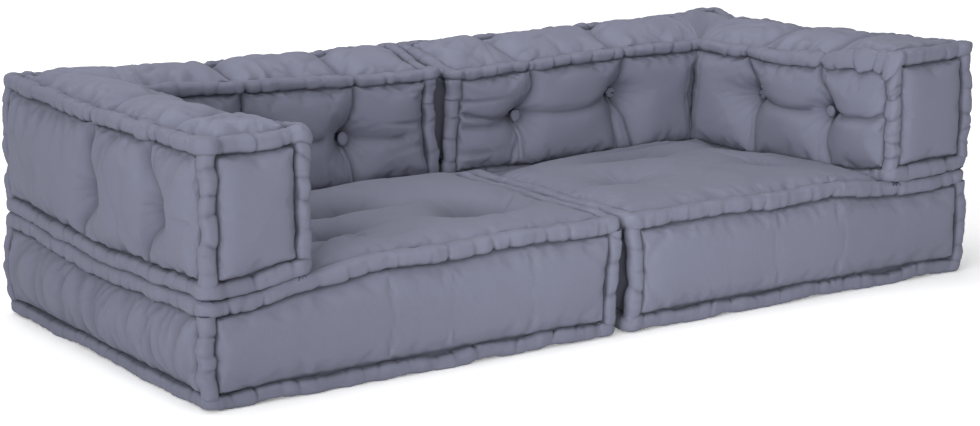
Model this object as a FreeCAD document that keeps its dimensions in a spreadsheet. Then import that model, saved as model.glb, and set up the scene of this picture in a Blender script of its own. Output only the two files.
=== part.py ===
import FreeCAD, Part
import os
import re

from FreeCAD import Placement, Rotation, Vector
import Sketcher

# Modular floor sofa: two mirrored modules, each a tufted box seat with an L-shaped bolster lashed on top.
# Millimetres, +X along the row, the front faces -Y, +Z up, origin on the floor under the sofa's middle.
# Every sub-part of the left module is built once, and the right module is its mirror image.

doc = FreeCAD.newDocument("modular_sofa")

# Driving dimensions
dimensions = {
    # Module
    "module_width": 690,
    "module_depth": 640,
    "module_height": 360,
    "module_spacing": 6,
    "seat_height": 160,
    "arm_thickness": 166,
    "back_thickness": 160,
    # Stuffed edge rolls
    "roll_diameter": 24,
    "roll_clearance": 0.3,
    "seam_spacing": 0.4,
    # Padded cover panels
    "panel_thickness": 12,
    "panel_swell": 11,
    "side_swell": 8,
    "edge_swell": 2,
    "valley_swell": 3,
    "arch_rise": 15,
    "corner_relief": 6,
    # Crown of the seat, with rounded shoulders
    "seat_edge_thickness": 18,
    "shoulder_run": 75,
    "shoulder_rise": 22,
    "shoulder_bulge": 5,
    "seat_crown": 8,
    # Places of the tufts, from the module's outer end, its front and the floor
    "tuft_level": 258,
    "back_tuft_first": 332,
    "back_tuft_second": 526,
    "arm_tuft_first": 146,
    "arm_tuft_second": 344,
    "seat_tuft_front": 155,
    "seat_tuft_front_first": 280,
    "seat_tuft_front_second": 540,
    "seat_tuft_rear": 295,
    "seat_tuft_rear_across": 400,
    # Covered buttons and the pleated funnels that they pull into the padding
    "button_diameter": 22,
    "button_rim": 3,
    "button_height": 6,
    "button_slope": 4,
    "button_clearance": 0.3,
    "button_seat": 5,
    "seat_button_seat": 10,
    "button_mouth": 96,
    # Tufting twines and their knots
    "twine_radius": 1.5,
    "hole_radius": 1.9,
    "knot_radius": 4,
    "knot_height": 3,
    "knot_recess": 9,
    "knot_mouth": 64,
    # Hand lashing between the seat and the bolster
    "lashing_radius": 0.9,
    "lashing_length": 10,
    "lashing_pitch": 9,
    "lashing_setback": 1,
    # Play that keeps cuts clear of the faces they start from
    "overcut": 1,
}

sizes = doc.addObject("Spreadsheet::Sheet", "sizes")
for row, (alias, value) in enumerate(dimensions.items(), start=1):
    sizes.set(f"A{row}", alias)
    sizes.set(f"B{row}", str(value))
    sizes.setAlias(f"B{row}", alias)
doc.recompute()

# Lengths that follow from the driving dimensions, as formulas in the left module's own frame:
# x from its outer end, y from its front, z from the floor
roll_radius = "(roll_diameter / 2)"
inset = "(roll_diameter + roll_clearance)"
far_end = f"(module_width - {inset})"
far_back = f"(module_depth - {inset})"
seat_floor = inset
seat_top = f"(seat_height - {inset})"
bolster_base = "(seat_height + seam_spacing)"
bolster_floor = f"({bolster_base} + {inset})"
bolster_top = f"(module_height - {inset})"
arm_face = f"(arm_thickness - {inset})"
back_face = f"(module_depth - back_thickness + {inset})"
arm_seam = f"(arm_thickness - {roll_radius})"
back_seam = f"(module_depth - back_thickness + {roll_radius})"
crown_start = "(arm_thickness + roll_clearance)"
crown_end = "(module_depth - back_thickness - roll_clearance)"
backrest_start = f"({arm_face} + panel_thickness + corner_relief)"
button_radius = "(button_diameter / 2)"
shoulder_chord = "sqrt(shoulder_run^2 + shoulder_rise^2)"


def formula(text):
    """The text with the name of each dimension pointing at its cell in the sheet."""
    return re.sub(r"[a-z_]+", lambda word: f"sizes.{word[0]}" if word[0] in dimensions else word[0], text)


def amount(text):
    """The present value of a formula."""
    return float(sizes.evalExpression(formula(text)))


def bind(thing, where, text):
    """Tie a property of an object to a formula of the driving dimensions."""
    thing.setExpression(where, formula(text))


# Directions of a piece that faces each way: across it, along it and out of its face
facings = {
    "front": (Vector(0, 0, -1), Vector(1, 0, 0), Vector(0, -1, 0)),
    "rear": (Vector(0, 0, 1), Vector(1, 0, 0), Vector(0, 1, 0)),
    "outward": (Vector(0, 0, 1), Vector(0, 1, 0), Vector(-1, 0, 0)),
    "inward": (Vector(0, 0, -1), Vector(0, 1, 0), Vector(1, 0, 0)),
    "upward": (Vector(1, 0, 0), Vector(0, 1, 0), Vector(0, 0, 1)),
}


def place(thing, x, y, z, facing="upward"):
    """Put a piece at a point of the left module and turn it to face one way."""
    thing.Placement = Placement(Vector(), Rotation(*facings[facing], "ZYX"))
    bind(thing, "Placement.Base.x", f"{x} - module_width - module_spacing / 2")
    bind(thing, "Placement.Base.y", f"{y} - module_depth / 2")
    bind(thing, "Placement.Base.z", z)


def new_body(name, x="0", y="0", z="0", facing="upward"):
    body = doc.addObject("PartDesign::Body", name)
    place(body, x, y, z, facing)
    return body


def new_sketch(body, plane, x_shift="0", y_shift="0", lift="0"):
    """An empty sketch on a plane of the body, shifted in that plane and lifted along its normal."""
    sketch = body.newObject("Sketcher::SketchObject", f"{body.Name}_sketch")
    support = next(item for item in body.Origin.OriginFeatures if item.Role == plane)
    sketch.AttachmentSupport = [(support, "")]
    sketch.MapMode = "FlatFace"
    bind(sketch, "AttachmentOffset.Base.x", x_shift)
    bind(sketch, "AttachmentOffset.Base.y", y_shift)
    bind(sketch, "AttachmentOffset.Base.z", lift)
    return sketch


def arch_radius(run, rise):
    """Radius of the arc that spans a run and rises by a given height in its middle."""
    return f"(({run})^2 / 4 + ({rise})^2) / (2 * ({rise}))"


def ring(radius, points=12):
    """The corners of a regular polygon that stands in for a circle."""
    turns = [f"{360 * point / points} deg" for point in range(points)]
    return [(f"({radius}) * cos({turn})", f"({radius}) * sin({turn})") for turn in turns]


def draw_outline(sketch, corners, arcs=None):
    """A closed outline with formulas for its corners, and for the radius of each side that is an arc.

    An arc swells to the right of the way from its first corner to its second.
    """
    arcs = arcs or {}
    points = [Vector(amount(x), amount(y), 0) for x, y in corners]
    for side, start in enumerate(points):
        end = points[(side + 1) % len(points)]
        line = Part.LineSegment(start, end)
        if side in arcs:
            radius = amount(arcs[side])
            half = (end - start).Length / 2
            bulge = radius - (radius**2 - half**2) ** 0.5
            outward = Vector(end.y - start.y, start.x - end.x, 0).normalize()
            line = Part.Arc(start, (start + end) / 2 + outward * bulge, end)
        sketch.addGeometry(line, False)
    for side, (x, y) in enumerate(corners):
        following = (side + 1) % len(corners)
        sketch.addConstraint(Sketcher.Constraint("Coincident", side, 2, following, 1))
        for kind, text in (("DistanceX", x), ("DistanceY", y)):
            index = sketch.addConstraint(Sketcher.Constraint(kind, -1, 1, side, 1, amount(text)))
            bind(sketch, f"Constraints[{index}]", text)
    for side, radius in arcs.items():
        index = sketch.addConstraint(Sketcher.Constraint("Radius", side, amount(radius)))
        bind(sketch, f"Constraints[{index}]", radius)


def extrude(body, kind, plane, corners, low, high, arcs=None, shift=("0", "0")):
    """A Pad or a Pocket of an outline, from one coordinate to another along the plane's axis."""
    from_high = (kind == "Pocket") != (plane == "XZ_Plane")
    level = high if from_high else low
    lift = f"-({level})" if plane == "XZ_Plane" else level
    sketch = new_sketch(body, plane, *shift, lift=lift)
    draw_outline(sketch, corners, arcs)
    feature = body.newObject(f"PartDesign::{kind}", f"{body.Name}_{kind.lower()}")
    feature.Profile = sketch
    bind(feature, "Length", f"{high} - ({low})")


def add_lobes(body, plane, low, high, start, end, tufts, swell):
    """Padding with a flat back, full between the tufts and low along the valley of each tuft."""
    edge = "panel_thickness + edge_swell"
    stops = [(end, edge)]
    stops += [(tuft, "panel_thickness + valley_swell") for tuft in reversed(tufts)]
    stops += [(start, edge)]
    arcs = {}
    for side, ((near, _), (far, _)) in enumerate(zip(stops, stops[1:]), start=2):
        arcs[side] = arch_radius(f"{near} - ({far})", swell)
    extrude(body, "Pad", plane, [(start, "0"), (end, "0"), *stops], low, high, arcs)


def round_across(body, plane, low, high, left, right, edge, rise):
    """Cut the padding down to an arch from one long side to the other."""
    over = f"{edge} + {rise} + overcut"
    corners = [(right, edge), (left, edge), (left, over), (right, over)]
    extrude(body, "Pocket", plane, corners, low, high, {0: arch_radius(f"{right} - ({left})", rise)})


def sink_tuft(body, across, along, seat, well_radius, mouth, mouth_height):
    """A diamond of four slopes down to a well with a flat seat, and the twine's hole under it."""
    shift = (across, along)
    extrude(body, "Pocket", "XY_Plane", ring("hole_radius", 6), "-overcut", f"{seat} + overcut", shift=shift)
    well = ring(f"({well_radius} + button_clearance) / cos(15 deg)")
    extrude(body, "Pocket", "XY_Plane", well, seat, mouth_height, shift=shift)
    slopes = body.newObject("PartDesign::SubtractiveWedge", f"{body.Name}_slopes")
    support = next(item for item in body.Origin.OriginFeatures if item.Role == "XZ_Plane")
    slopes.AttachmentSupport = [(support, "")]
    slopes.MapMode = "FlatFace"
    slopes.AttachmentOffset = Placement(Vector(), Rotation(Vector(0, 1, 0), 45))
    bind(slopes, "AttachmentOffset.Base.x", across)
    bind(slopes, "AttachmentOffset.Base.z", f"-({along})")
    bind(slopes, "Ymin", seat)
    bind(slopes, "Ymax", mouth_height)
    for axis in ("X", "Z"):
        bind(slopes, f"{axis}min", f"-({well_radius}) * cos(45 deg)")
        bind(slopes, f"{axis}max", f"({well_radius}) * cos(45 deg)")
        bind(slopes, f"{axis}2min", f"-{mouth} / 2 * cos(45 deg)")
        bind(slopes, f"{axis}2max", f"{mouth} / 2 * cos(45 deg)")


def add_panel(name, facing, x, y, z, width, length, swell, tufts=(), fastening=None):
    """A padded cover panel whose flat back lies on the filling and whose face swells outwards."""
    body = new_body(name, x, y, z, facing)
    left, right = f"-{width} / 2", f"{width} / 2"
    add_lobes(body, "YZ_Plane", left, right, "0", length, tufts, f"{swell} - valley_swell")
    round_across(body, "XZ_Plane", "0", length, left, right, "panel_thickness + edge_swell", "arch_rise")
    level = f"({z} - tuft_level) * {'-1' if facing in ('rear', 'outward') else '1'}"
    for tuft in tufts:
        sink_tuft(body, level, tuft, "button_seat", *fastening, f"panel_thickness + {swell} + overcut")
    return body


def add_loop_roll(name, z, corners):
    """A stuffed roll round a closed run of straight edges, mitred at every corner."""
    body = new_body(name, z=z)
    (first_x, first_y), (second_x, _) = corners[:2]
    middle = f"(({first_x} + {second_x}) / 2)"
    spine = new_sketch(body, "XY_Plane")
    draw_outline(spine, [(middle, first_y), *corners[1:], corners[0]])
    section = new_sketch(body, "YZ_Plane", first_y, lift=middle)
    section.addGeometry(Part.Circle(Vector(), Vector(0, 0, 1), amount(roll_radius)), False)
    section.addConstraint(Sketcher.Constraint("Coincident", 0, 3, -1, 1))
    index = section.addConstraint(Sketcher.Constraint("Radius", 0, amount(roll_radius)))
    bind(section, f"Constraints[{index}]", roll_radius)
    pipe = body.newObject("PartDesign::AdditivePipe", f"{name}_pipe")
    pipe.Profile = section
    pipe.Spine = (spine, [])
    pipe.Transition = "Right corner"
    return body


def add_group(name, pieces):
    """Several separate solids of one kind, as one sub-part."""
    group = doc.addObject("Part::Compound", name)
    group.Links = pieces
    return group


def add_corner_rolls(name, places, z, height):
    """The stuffed upright rolls at a block's corners, between its top and bottom rolls."""
    rolls = []
    for x, y in places:
        roll = doc.addObject("Part::Cylinder", f"{name}_piece")
        bind(roll, "Radius", roll_radius)
        bind(roll, "Height", height)
        place(roll, x, y, z)
        rolls.append(roll)
    return add_group(name, rolls)


def add_button(x, y, z, facing):
    """A cloth-covered button: a rim that narrows to a flat crest."""
    body = new_body("button", x, y, z, facing)
    extrude(body, "Pad", "XY_Plane", ring(button_radius), "0", "button_height")
    doc.recompute()
    blank = body.Tip
    crest = max(range(len(blank.Shape.Faces)), key=lambda face: blank.Shape.Faces[face].CenterOfMass.z)
    slope = body.newObject("PartDesign::Chamfer", "button_slope")
    slope.Base = (blank, [f"Face{crest + 1}"])
    slope.ChamferType = "Two distances"
    bind(slope, "Size", "button_height - button_rim")
    bind(slope, "Size2", "button_slope")
    return body


def add_prism(name, radius, height, x, y, z, facing="upward"):
    """A short length of twine, or a knot, as a six-sided bar."""
    prism = doc.addObject("Part::Prism", name)
    prism.Polygon = 6
    bind(prism, "Circumradius", radius)
    bind(prism, "Height", height)
    place(prism, x, y, z, facing)
    return prism


def add_twine(length, x, y, z, facing):
    """A tufting twine with the knot that holds it at its near end."""
    twine = add_prism("twine_bar", "twine_radius", length, x, y, z, facing)
    knot = add_prism("knot_bar", "knot_radius", "knot_height", x, y, z, facing)
    knotted = doc.addObject("Part::Fuse", "knotted_twine")
    knotted.Base = knot
    knotted.Tool = twine
    return knotted


def add_filling(name, low, high, holes):
    """A block of cotton filling, pierced by the twines: each hole has a start, a direction and a length."""
    block = doc.addObject("Part::Box", f"{name}_block")
    for side, start, end in zip(("Length", "Width", "Height"), low, high):
        bind(block, side, f"{end} - {start}")
    place(block, *low)
    drills = []
    for start, facing, length in holes:
        drills.append(add_prism(f"{name}_hole", "hole_radius", length, *start, facing))
    filling = doc.addObject("Part::Cut", name)
    filling.Base = block
    filling.Tool = add_group(f"{name}_holes", drills)
    return filling


def l_outline(near, inner_x, inner_y, end, back):
    """The corners of an L: an arm from the front to the back, and a back along the rear."""
    return [(near, near), (inner_x, near), (inner_x, inner_y), (end, inner_y), (end, back), (near, back)]


left_parts = {}

# What sits in a tuft: radius of its well, width of the tuft's mouth
with_button = (button_radius, "button_mouth")

# Seat cushion: filling, pierced from below under each tuft
seat_tufts = [
    ("seat_tuft_front_first", "seat_tuft_front"),
    ("seat_tuft_front_second", "seat_tuft_front"),
    ("seat_tuft_rear_across", "seat_tuft_rear"),
]
left_parts["seat_filling"] = add_filling(
    "seat_filling",
    (inset, inset, seat_floor),
    (far_end, far_back, seat_top),
    [((x, y, seat_floor), "upward", f"{seat_top} - {seat_floor}") for x, y in seat_tufts],
)

# Seat top: flat where the bolster stands on it, crowned and tufted where it is sat on
top_panel = new_body("seat_top_panel", z=seat_top)
top_outline = l_outline(inset, crown_start, crown_end, far_end, far_back)
extrude(top_panel, "Pad", "XY_Plane", top_outline, "0", inset)
shoulder_height = "seat_edge_thickness + shoulder_rise"
crown_top = f"{shoulder_height} + seat_crown"
across_crown = [
    (f"({far_end} - shoulder_run)", shoulder_height),
    (f"({crown_start} + shoulder_run)", shoulder_height),
]
crown_corners = [(crown_start, "0"), (far_end, "0"), (far_end, "seat_edge_thickness"), *across_crown]
crown_corners += [(crown_start, "seat_edge_thickness")]
shoulder_radius = arch_radius(shoulder_chord, "shoulder_bulge")
crown_arcs = {
    2: shoulder_radius,
    3: arch_radius(f"{far_end} - {crown_start} - 2 * shoulder_run", "seat_crown"),
    4: shoulder_radius,
}
extrude(top_panel, "Pad", "XZ_Plane", crown_corners, inset, crown_end, crown_arcs)
deep_corners = [
    (crown_end, "seat_edge_thickness"),
    (f"({crown_end} - shoulder_run)", shoulder_height),
    (f"({inset} + shoulder_run)", shoulder_height),
    (inset, "seat_edge_thickness"),
    (inset, f"{crown_top} + overcut"),
    (crown_end, f"{crown_top} + overcut"),
]
deep_arcs = {
    0: shoulder_radius,
    1: arch_radius(f"{crown_end} - {inset} - 2 * shoulder_run", "seat_crown"),
    2: shoulder_radius,
}
extrude(top_panel, "Pocket", "YZ_Plane", deep_corners, crown_start, far_end, deep_arcs)
for x, y in seat_tufts:
    sink_tuft(top_panel, x, y, "seat_button_seat", *with_button, f"{crown_top} + overcut")
left_parts["seat_top_panel"] = top_panel

# Seat underside: flat on the floor, with a recess for each knot
bottom_panel = new_body("seat_bottom_panel")
bottom_outline = [(inset, inset), (far_end, inset), (far_end, far_back), (inset, far_back)]
extrude(bottom_panel, "Pad", "XY_Plane", bottom_outline, "0", inset)
recess = ring("knot_radius + button_clearance", 6)
hole = ring("hole_radius", 6)
for place_of_tuft in seat_tufts:
    extrude(bottom_panel, "Pocket", "XY_Plane", recess, "-overcut", "knot_recess", shift=place_of_tuft)
    extrude(bottom_panel, "Pocket", "XY_Plane", hole, "-overcut", f"{inset} + overcut", shift=place_of_tuft)
left_parts["seat_bottom_panel"] = bottom_panel

# Seat sides
seat_middle = f"(({seat_floor} + {seat_top}) / 2)"
seat_panel_width = f"({seat_top} - {seat_floor})"
across_length = f"({far_end} - {inset})"
deep_length = f"({far_back} - {inset})"
seat_sides = {
    "seat_front_panel": ("front", inset, inset, across_length),
    "seat_rear_panel": ("rear", inset, far_back, across_length),
    "seat_outer_panel": ("outward", inset, inset, deep_length),
    "seat_inner_panel": ("inward", far_end, inset, deep_length),
}
for name, (facing, x, y, length) in seat_sides.items():
    left_parts[name] = add_panel(name, facing, x, y, seat_middle, seat_panel_width, length, "side_swell")

# Seat rolls
end_seam = f"(module_width - {roll_radius})"
rear_seam = f"(module_depth - {roll_radius})"
seat_corners = [
    (roll_radius, roll_radius),
    (end_seam, roll_radius),
    (end_seam, rear_seam),
    (roll_radius, rear_seam),
]
left_parts["seat_bottom_roll"] = add_loop_roll("seat_bottom_roll", roll_radius, seat_corners)
left_parts["seat_top_roll"] = add_loop_roll("seat_top_roll", f"seat_height - {roll_radius}", seat_corners)
left_parts["seat_corner_rolls"] = add_corner_rolls(
    "seat_corner_rolls", seat_corners, seat_floor, seat_panel_width
)

# Seat buttons and twines
seat_button_level = f"({seat_top} + seat_button_seat)"
left_parts["seat_buttons"] = add_group(
    "seat_buttons", [add_button(x, y, seat_button_level, "upward") for x, y in seat_tufts]
)
knot_level = "(knot_recess - knot_height)"
left_parts["seat_twines"] = add_group(
    "seat_twines",
    [add_twine(f"{seat_button_level} - {knot_level}", x, y, knot_level, "upward") for x, y in seat_tufts],
)

# Bolster filling: one block in the arm and one along the back
back_tufts = ["back_tuft_first", "back_tuft_second"]
arm_tufts = ["arm_tuft_first", "arm_tuft_second"]
left_parts["back_filling"] = add_filling(
    "back_filling",
    (inset, back_face, bolster_floor),
    (far_end, far_back, bolster_top),
    [((x, back_face, "tuft_level"), "rear", f"{far_back} - {back_face}") for x in back_tufts],
)
left_parts["arm_filling"] = add_filling(
    "arm_filling",
    (inset, inset, bolster_floor),
    (arm_face, back_face, bolster_top),
    [((inset, y, "tuft_level"), "inward", f"{arm_face} - {inset}") for y in arm_tufts],
)

# Bolster top: two padded bars that meet in the corner, with a valley over each tuft
bolster_top_panel = new_body("bolster_top_panel", z=bolster_top)
lobe_swell = "panel_swell - valley_swell"
add_lobes(bolster_top_panel, "YZ_Plane", inset, arm_face, inset, far_back, arm_tufts, lobe_swell)
add_lobes(bolster_top_panel, "XZ_Plane", back_face, far_back, inset, far_end, back_tufts, lobe_swell)
top_edge = "panel_thickness + edge_swell"
round_across(bolster_top_panel, "XZ_Plane", inset, back_face, inset, arm_face, top_edge, "arch_rise")
round_across(bolster_top_panel, "YZ_Plane", arm_face, far_end, back_face, far_back, top_edge, "arch_rise")
left_parts["bolster_top_panel"] = bolster_top_panel

# Bolster underside: flat on the flat part of the seat
bolster_bottom_panel = new_body("bolster_bottom_panel", z="seat_height")
bottom_outline = l_outline(inset, arm_face, back_face, far_end, far_back)
extrude(bolster_bottom_panel, "Pad", "XY_Plane", bottom_outline, "0", f"{bolster_floor} - seat_height")
left_parts["bolster_bottom_panel"] = bolster_bottom_panel

# Bolster faces, tufted on the long sides: buttons sit on the inner faces and knots on the outer ones
bolster_middle = f"(({bolster_floor} + {bolster_top}) / 2)"
bolster_panel_width = f"({bolster_top} - {bolster_floor})"
with_knot = ("knot_radius", "knot_mouth")
tufted_faces = {
    "back_rear_panel": ("rear", inset, far_back, far_end, back_tufts, with_knot),
    "backrest_panel": ("front", backrest_start, back_face, far_end, back_tufts, with_button),
    "arm_outer_panel": ("outward", inset, inset, far_back, arm_tufts, with_knot),
    "arm_inner_panel": ("inward", arm_face, inset, back_face, arm_tufts, with_button),
}
for name, (facing, x, y, end, tufts, fastening) in tufted_faces.items():
    start = x if facing in ("front", "rear") else y
    along = [f"({tuft} - {start})" for tuft in tufts]
    length = f"({end} - {start})"
    left_parts[name] = add_panel(
        name, facing, x, y, bolster_middle, bolster_panel_width, length, "panel_swell", along, fastening
    )
end_faces = {
    "arm_front_panel": ("front", inset, inset, f"({arm_face} - {inset})"),
    "back_end_panel": ("inward", far_end, back_face, f"({far_back} - {back_face})"),
}
for name, (facing, x, y, length) in end_faces.items():
    left_parts[name] = add_panel(name, facing, x, y, bolster_middle, bolster_panel_width, length, "side_swell")

# Bolster rolls: L-shaped loops above and below, and a roll up each outward corner
bolster_corners = l_outline(roll_radius, arm_seam, back_seam, end_seam, rear_seam)
left_parts["bolster_bottom_roll"] = add_loop_roll(
    "bolster_bottom_roll", f"{bolster_base} + {roll_radius}", bolster_corners
)
left_parts["bolster_top_roll"] = add_loop_roll(
    "bolster_top_roll", f"module_height - {roll_radius}", bolster_corners
)
outward_corners = [corner for corner in bolster_corners if corner != (arm_seam, back_seam)]
left_parts["bolster_corner_rolls"] = add_corner_rolls(
    "bolster_corner_rolls", outward_corners, bolster_floor, bolster_panel_width
)

# Bolster buttons on the inner faces, and twines knotted on the outer faces
arm_button_place = f"({arm_face} + button_seat)"
back_button_place = f"({back_face} - button_seat)"
bolster_buttons = [add_button(x, back_button_place, "tuft_level", "front") for x in back_tufts]
bolster_buttons += [add_button(arm_button_place, y, "tuft_level", "inward") for y in arm_tufts]
left_parts["bolster_buttons"] = add_group("bolster_buttons", bolster_buttons)
back_knot_place = f"({far_back} + button_seat + knot_height)"
arm_knot_place = f"({inset} - button_seat - knot_height)"
back_twine = f"{back_knot_place} - {back_button_place}"
arm_twine = f"{arm_button_place} - {arm_knot_place}"
bolster_twines = [add_twine(back_twine, x, back_knot_place, "tuft_level", "front") for x in back_tufts]
bolster_twines += [add_twine(arm_twine, arm_knot_place, y, "tuft_level", "inward") for y in arm_tufts]
left_parts["bolster_twines"] = add_group("bolster_twines", bolster_twines)

# Hand lashing: short stitches over the joint of seat and bolster, beside four corners
lashing_start = "(seat_height + seam_spacing / 2 - lashing_length / 2)"
lashing_places = [
    (inset, "lashing_setback", "+"),
    (arm_face, "lashing_setback", "-"),
    (inset, "(module_depth - lashing_setback)", "+"),
    (far_end, "(module_depth - lashing_setback)", "-"),
]
stitches = [
    add_prism(
        "stitch", "lashing_radius", "lashing_length", f"({x} {way} {turn} * lashing_pitch)", y, lashing_start
    )
    for x, y, way in lashing_places
    for turn in range(3)
]
left_parts["corner_lashings"] = add_group("corner_lashings", stitches)

# Right module: the mirror image of the left one
sub_parts = []
for name, piece in left_parts.items():
    piece.Label = f"left_{name}"
    mirrored = doc.addObject("Part::Mirroring", f"right_{name}")
    mirrored.Source = piece
    mirrored.Normal = Vector(1, 0, 0)
    mirrored.Label = f"right_{name}"
    sub_parts += [piece, mirrored]
doc.recompute()

for thing in doc.Objects:
    if {"Invalid", "Error"} & set(thing.State):
        raise RuntimeError(f"{thing.Label} did not build: {thing.State}")
for piece in sub_parts:
    if piece.Shape.isNull() or not piece.Shape.isValid() or piece.Shape.Volume <= 0:
        raise RuntimeError(f"{piece.Label} has no sound solid")

os.makedirs("parts", exist_ok=True)
for piece in sub_parts:
    piece.Shape.exportStep(f"parts/{piece.Label}.step")
    print(f"{piece.Label}: {len(piece.Shape.Solids)} solids, {piece.Shape.Volume / 1000:.1f} cm3")
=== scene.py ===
import bpy
import numpy as np
from mathutils import Euler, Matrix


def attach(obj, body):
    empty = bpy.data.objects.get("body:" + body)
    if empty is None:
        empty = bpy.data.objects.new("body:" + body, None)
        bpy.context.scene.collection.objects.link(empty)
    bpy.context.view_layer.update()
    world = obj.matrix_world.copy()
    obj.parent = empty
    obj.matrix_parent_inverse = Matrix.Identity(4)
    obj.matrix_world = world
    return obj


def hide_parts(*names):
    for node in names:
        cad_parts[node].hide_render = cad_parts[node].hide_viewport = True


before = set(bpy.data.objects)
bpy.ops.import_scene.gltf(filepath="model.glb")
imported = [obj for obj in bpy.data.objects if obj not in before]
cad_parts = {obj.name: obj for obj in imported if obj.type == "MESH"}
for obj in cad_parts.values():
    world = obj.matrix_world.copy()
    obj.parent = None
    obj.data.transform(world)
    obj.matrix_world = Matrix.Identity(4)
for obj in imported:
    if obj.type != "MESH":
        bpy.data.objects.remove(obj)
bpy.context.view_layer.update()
scene = bpy.context.scene
scene.view_settings.view_transform = "Standard"

# Camera. The photograph was taken from the left front with a long lens, a little above the backs, so that
# the uprights stay almost parallel.
camera = bpy.data.objects.new("camera", bpy.data.cameras.new("camera"))
scene.collection.objects.link(camera)
camera.data.sensor_width = 36
camera.data.lens = 86.0
camera.data.clip_end = 60
camera.location = (-2.059, -2.947, 0.920)
camera.rotation_euler = Euler(np.radians((90 - 12.44, 0, -34.67)))
scene.camera = camera

# Studio. A white paper sweep in a light tent, with one large softbox above, one at the left front and a
# low narrow one that opens up the far inner corner.


def colour(code):
    """sRGB hex to linear rgba: c / 12.92 below 0.04045, else ((c + 0.055) / 1.055)^2.4."""
    c = np.array([int(code[i : i + 2], 16) for i in (0, 2, 4)]) / 255
    return (*np.where(c <= 0.04045, c / 12.92, ((c + 0.055) / 1.055) ** 2.4), 1.0)


def add(tree, kind, links=(), **values):
    """Adds a shader node; values set properties or inputs, links join (output, name or number of input)."""
    node = tree.nodes.new(kind)
    for key, value in values.items():
        if hasattr(node, key):
            setattr(node, key, value)
        else:
            node.inputs[key.replace("_", " ")].default_value = value
    for output, name in links:
        tree.links.new(output, node.inputs[name])
    return node


def new_tree(owner):
    owner.use_nodes = True
    owner.node_tree.nodes.clear()
    return owner.node_tree


def looked_at(tree):
    """1 where the camera looks, also in a reflection or through something, and 0 where light falls."""
    path = add(tree, "ShaderNodeLightPath").outputs
    rays = [(path["Is Camera Ray"], 0), (path["Is Glossy Ray"], 1)]
    seen = add(tree, "ShaderNodeMath", rays, operation="MAXIMUM")
    rays = [(seen.outputs[0], 0), (path["Is Transmission Ray"], 1)]
    return add(tree, "ShaderNodeMath", rays, operation="MAXIMUM").outputs[0]


world = bpy.data.worlds.new("studio")
scene.world = world
tree = new_tree(world)
tent = add(tree, "ShaderNodeBackground", Color=colour("ffffff"), Strength=0.36)
backdrop = add(tree, "ShaderNodeBackground", Color=colour("ffffff"), Strength=1.0)
layers = [(looked_at(tree), 0), (tent.outputs[0], 1), (backdrop.outputs[0], 2)]
mixed = add(tree, "ShaderNodeMixShader", layers)
add(tree, "ShaderNodeOutputWorld", [(mixed.outputs[0], "Surface")])

floor_mesh = bpy.data.meshes.new("studio_floor")
floor_mesh.from_pydata([(-14, -14, 0), (14, -14, 0), (14, 14, 0), (-14, 14, 0)], [], [(0, 1, 2, 3)])
studio_floor = bpy.data.objects.new("studio_floor", floor_mesh)
scene.collection.objects.link(studio_floor)

# Matt white paper. Near the sofa it keeps the shadow; further off, in metres, it runs out into the tent.
paper = bpy.data.materials.new("white_paper_sweep")
tree = new_tree(paper)
place = add(tree, "ShaderNodeTexCoord").outputs["Object"]
away = add(tree, "ShaderNodeVectorMath", [(place, "Vector")], operation="LENGTH")
reach = dict(From_Min=1.1, From_Max=2.4, To_Min=0.2, To_Max=0.6)
glow = add(tree, "ShaderNodeMapRange", [(away.outputs["Value"], "Value")], **reach)
shown = add(tree, "ShaderNodeMath", [(looked_at(tree), 0), (glow.outputs[0], 1)], operation="MULTIPLY")
surface = add(
    tree,
    "ShaderNodeBsdfPrincipled",
    [(shown.outputs[0], "Emission Strength")],
    Base_Color=colour("fafafa"),
    Roughness=0.9,
    Specular_IOR_Level=0.1,
    Emission_Color=colour("ffffff"),
)
add(tree, "ShaderNodeOutputMaterial", [(surface.outputs[0], "Surface")])
floor_mesh.materials.append(paper)


def softbox(name, place, aim, size, power, spread=180):
    """Square area light at place, turned to aim; spread is the angle of its grid in degrees."""
    light = bpy.data.lights.new(name, "AREA")
    light.size = size
    light.energy = power
    light.spread = np.radians(spread)
    box = bpy.data.objects.new(name, light)
    scene.collection.objects.link(box)
    box.location = place
    way = np.array(aim, float) - np.array(place, float)
    tilt = np.arctan2(np.hypot(way[0], way[1]), -way[2])
    box.rotation_euler = Euler((tilt, 0, np.arctan2(way[1], way[0]) - np.pi / 2))


softbox("overhead_softbox", (-0.4, 0.4, 3.4), (0.0, 0.1, 0.2), 3.0, 80)
softbox("left_softbox", (-3.4, -2.0, 1.7), (0.0, 0.0, 0.2), 2.4, 95)
softbox("corner_fill", (-1.5, -3.0, 0.7), (0.5, 0.1, 0.25), 0.8, 3.8, spread=40)

# Modules. Two mirrored modules stand side by side, each a box cushion with an L-shaped bolster on it. Both
# are laid out alike in millimetres, from the arm's outer end (u), the front (v) and the floor (z), and the
# right one is turned over when it is put in the row. Cotton stuffing sags, and the soft blocks lean.
modules = ("left", "right")
module_width = 690.0
module_depth = 640.0
module_height = 360.0
module_spacing = 6.0
seat_height = 160.0
arm_thickness = 166.0
back_thickness = 160.0
joint_gap = 0.4
roll_radius = 12.0
# Seams run along the middle of the edge rolls.
outer_seam = front_seam = roll_radius
arm_seam = arm_thickness - roll_radius
end_seam = module_width - roll_radius
back_seam = module_depth - back_thickness + roll_radius
rear_seam = module_depth - roll_radius
seam_depth = rear_seam - front_seam
seat_levels = (roll_radius, seat_height - roll_radius)
bolster_levels = (seat_height + joint_gap + roll_radius, module_height - roll_radius)


def ease(x, start, end):
    """Smooth step: 3 t^2 - 2 t^3, t = (x - start) / (end - start) kept in 0..1."""
    t = np.clip((x - start) / (end - start), 0, 1)
    return t * t * (3 - 2 * t)


def hump(x, centre, width):
    """exp(-((x - centre) / width)^2)."""
    return np.exp(-(((x - centre) / width) ** 2))


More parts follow.
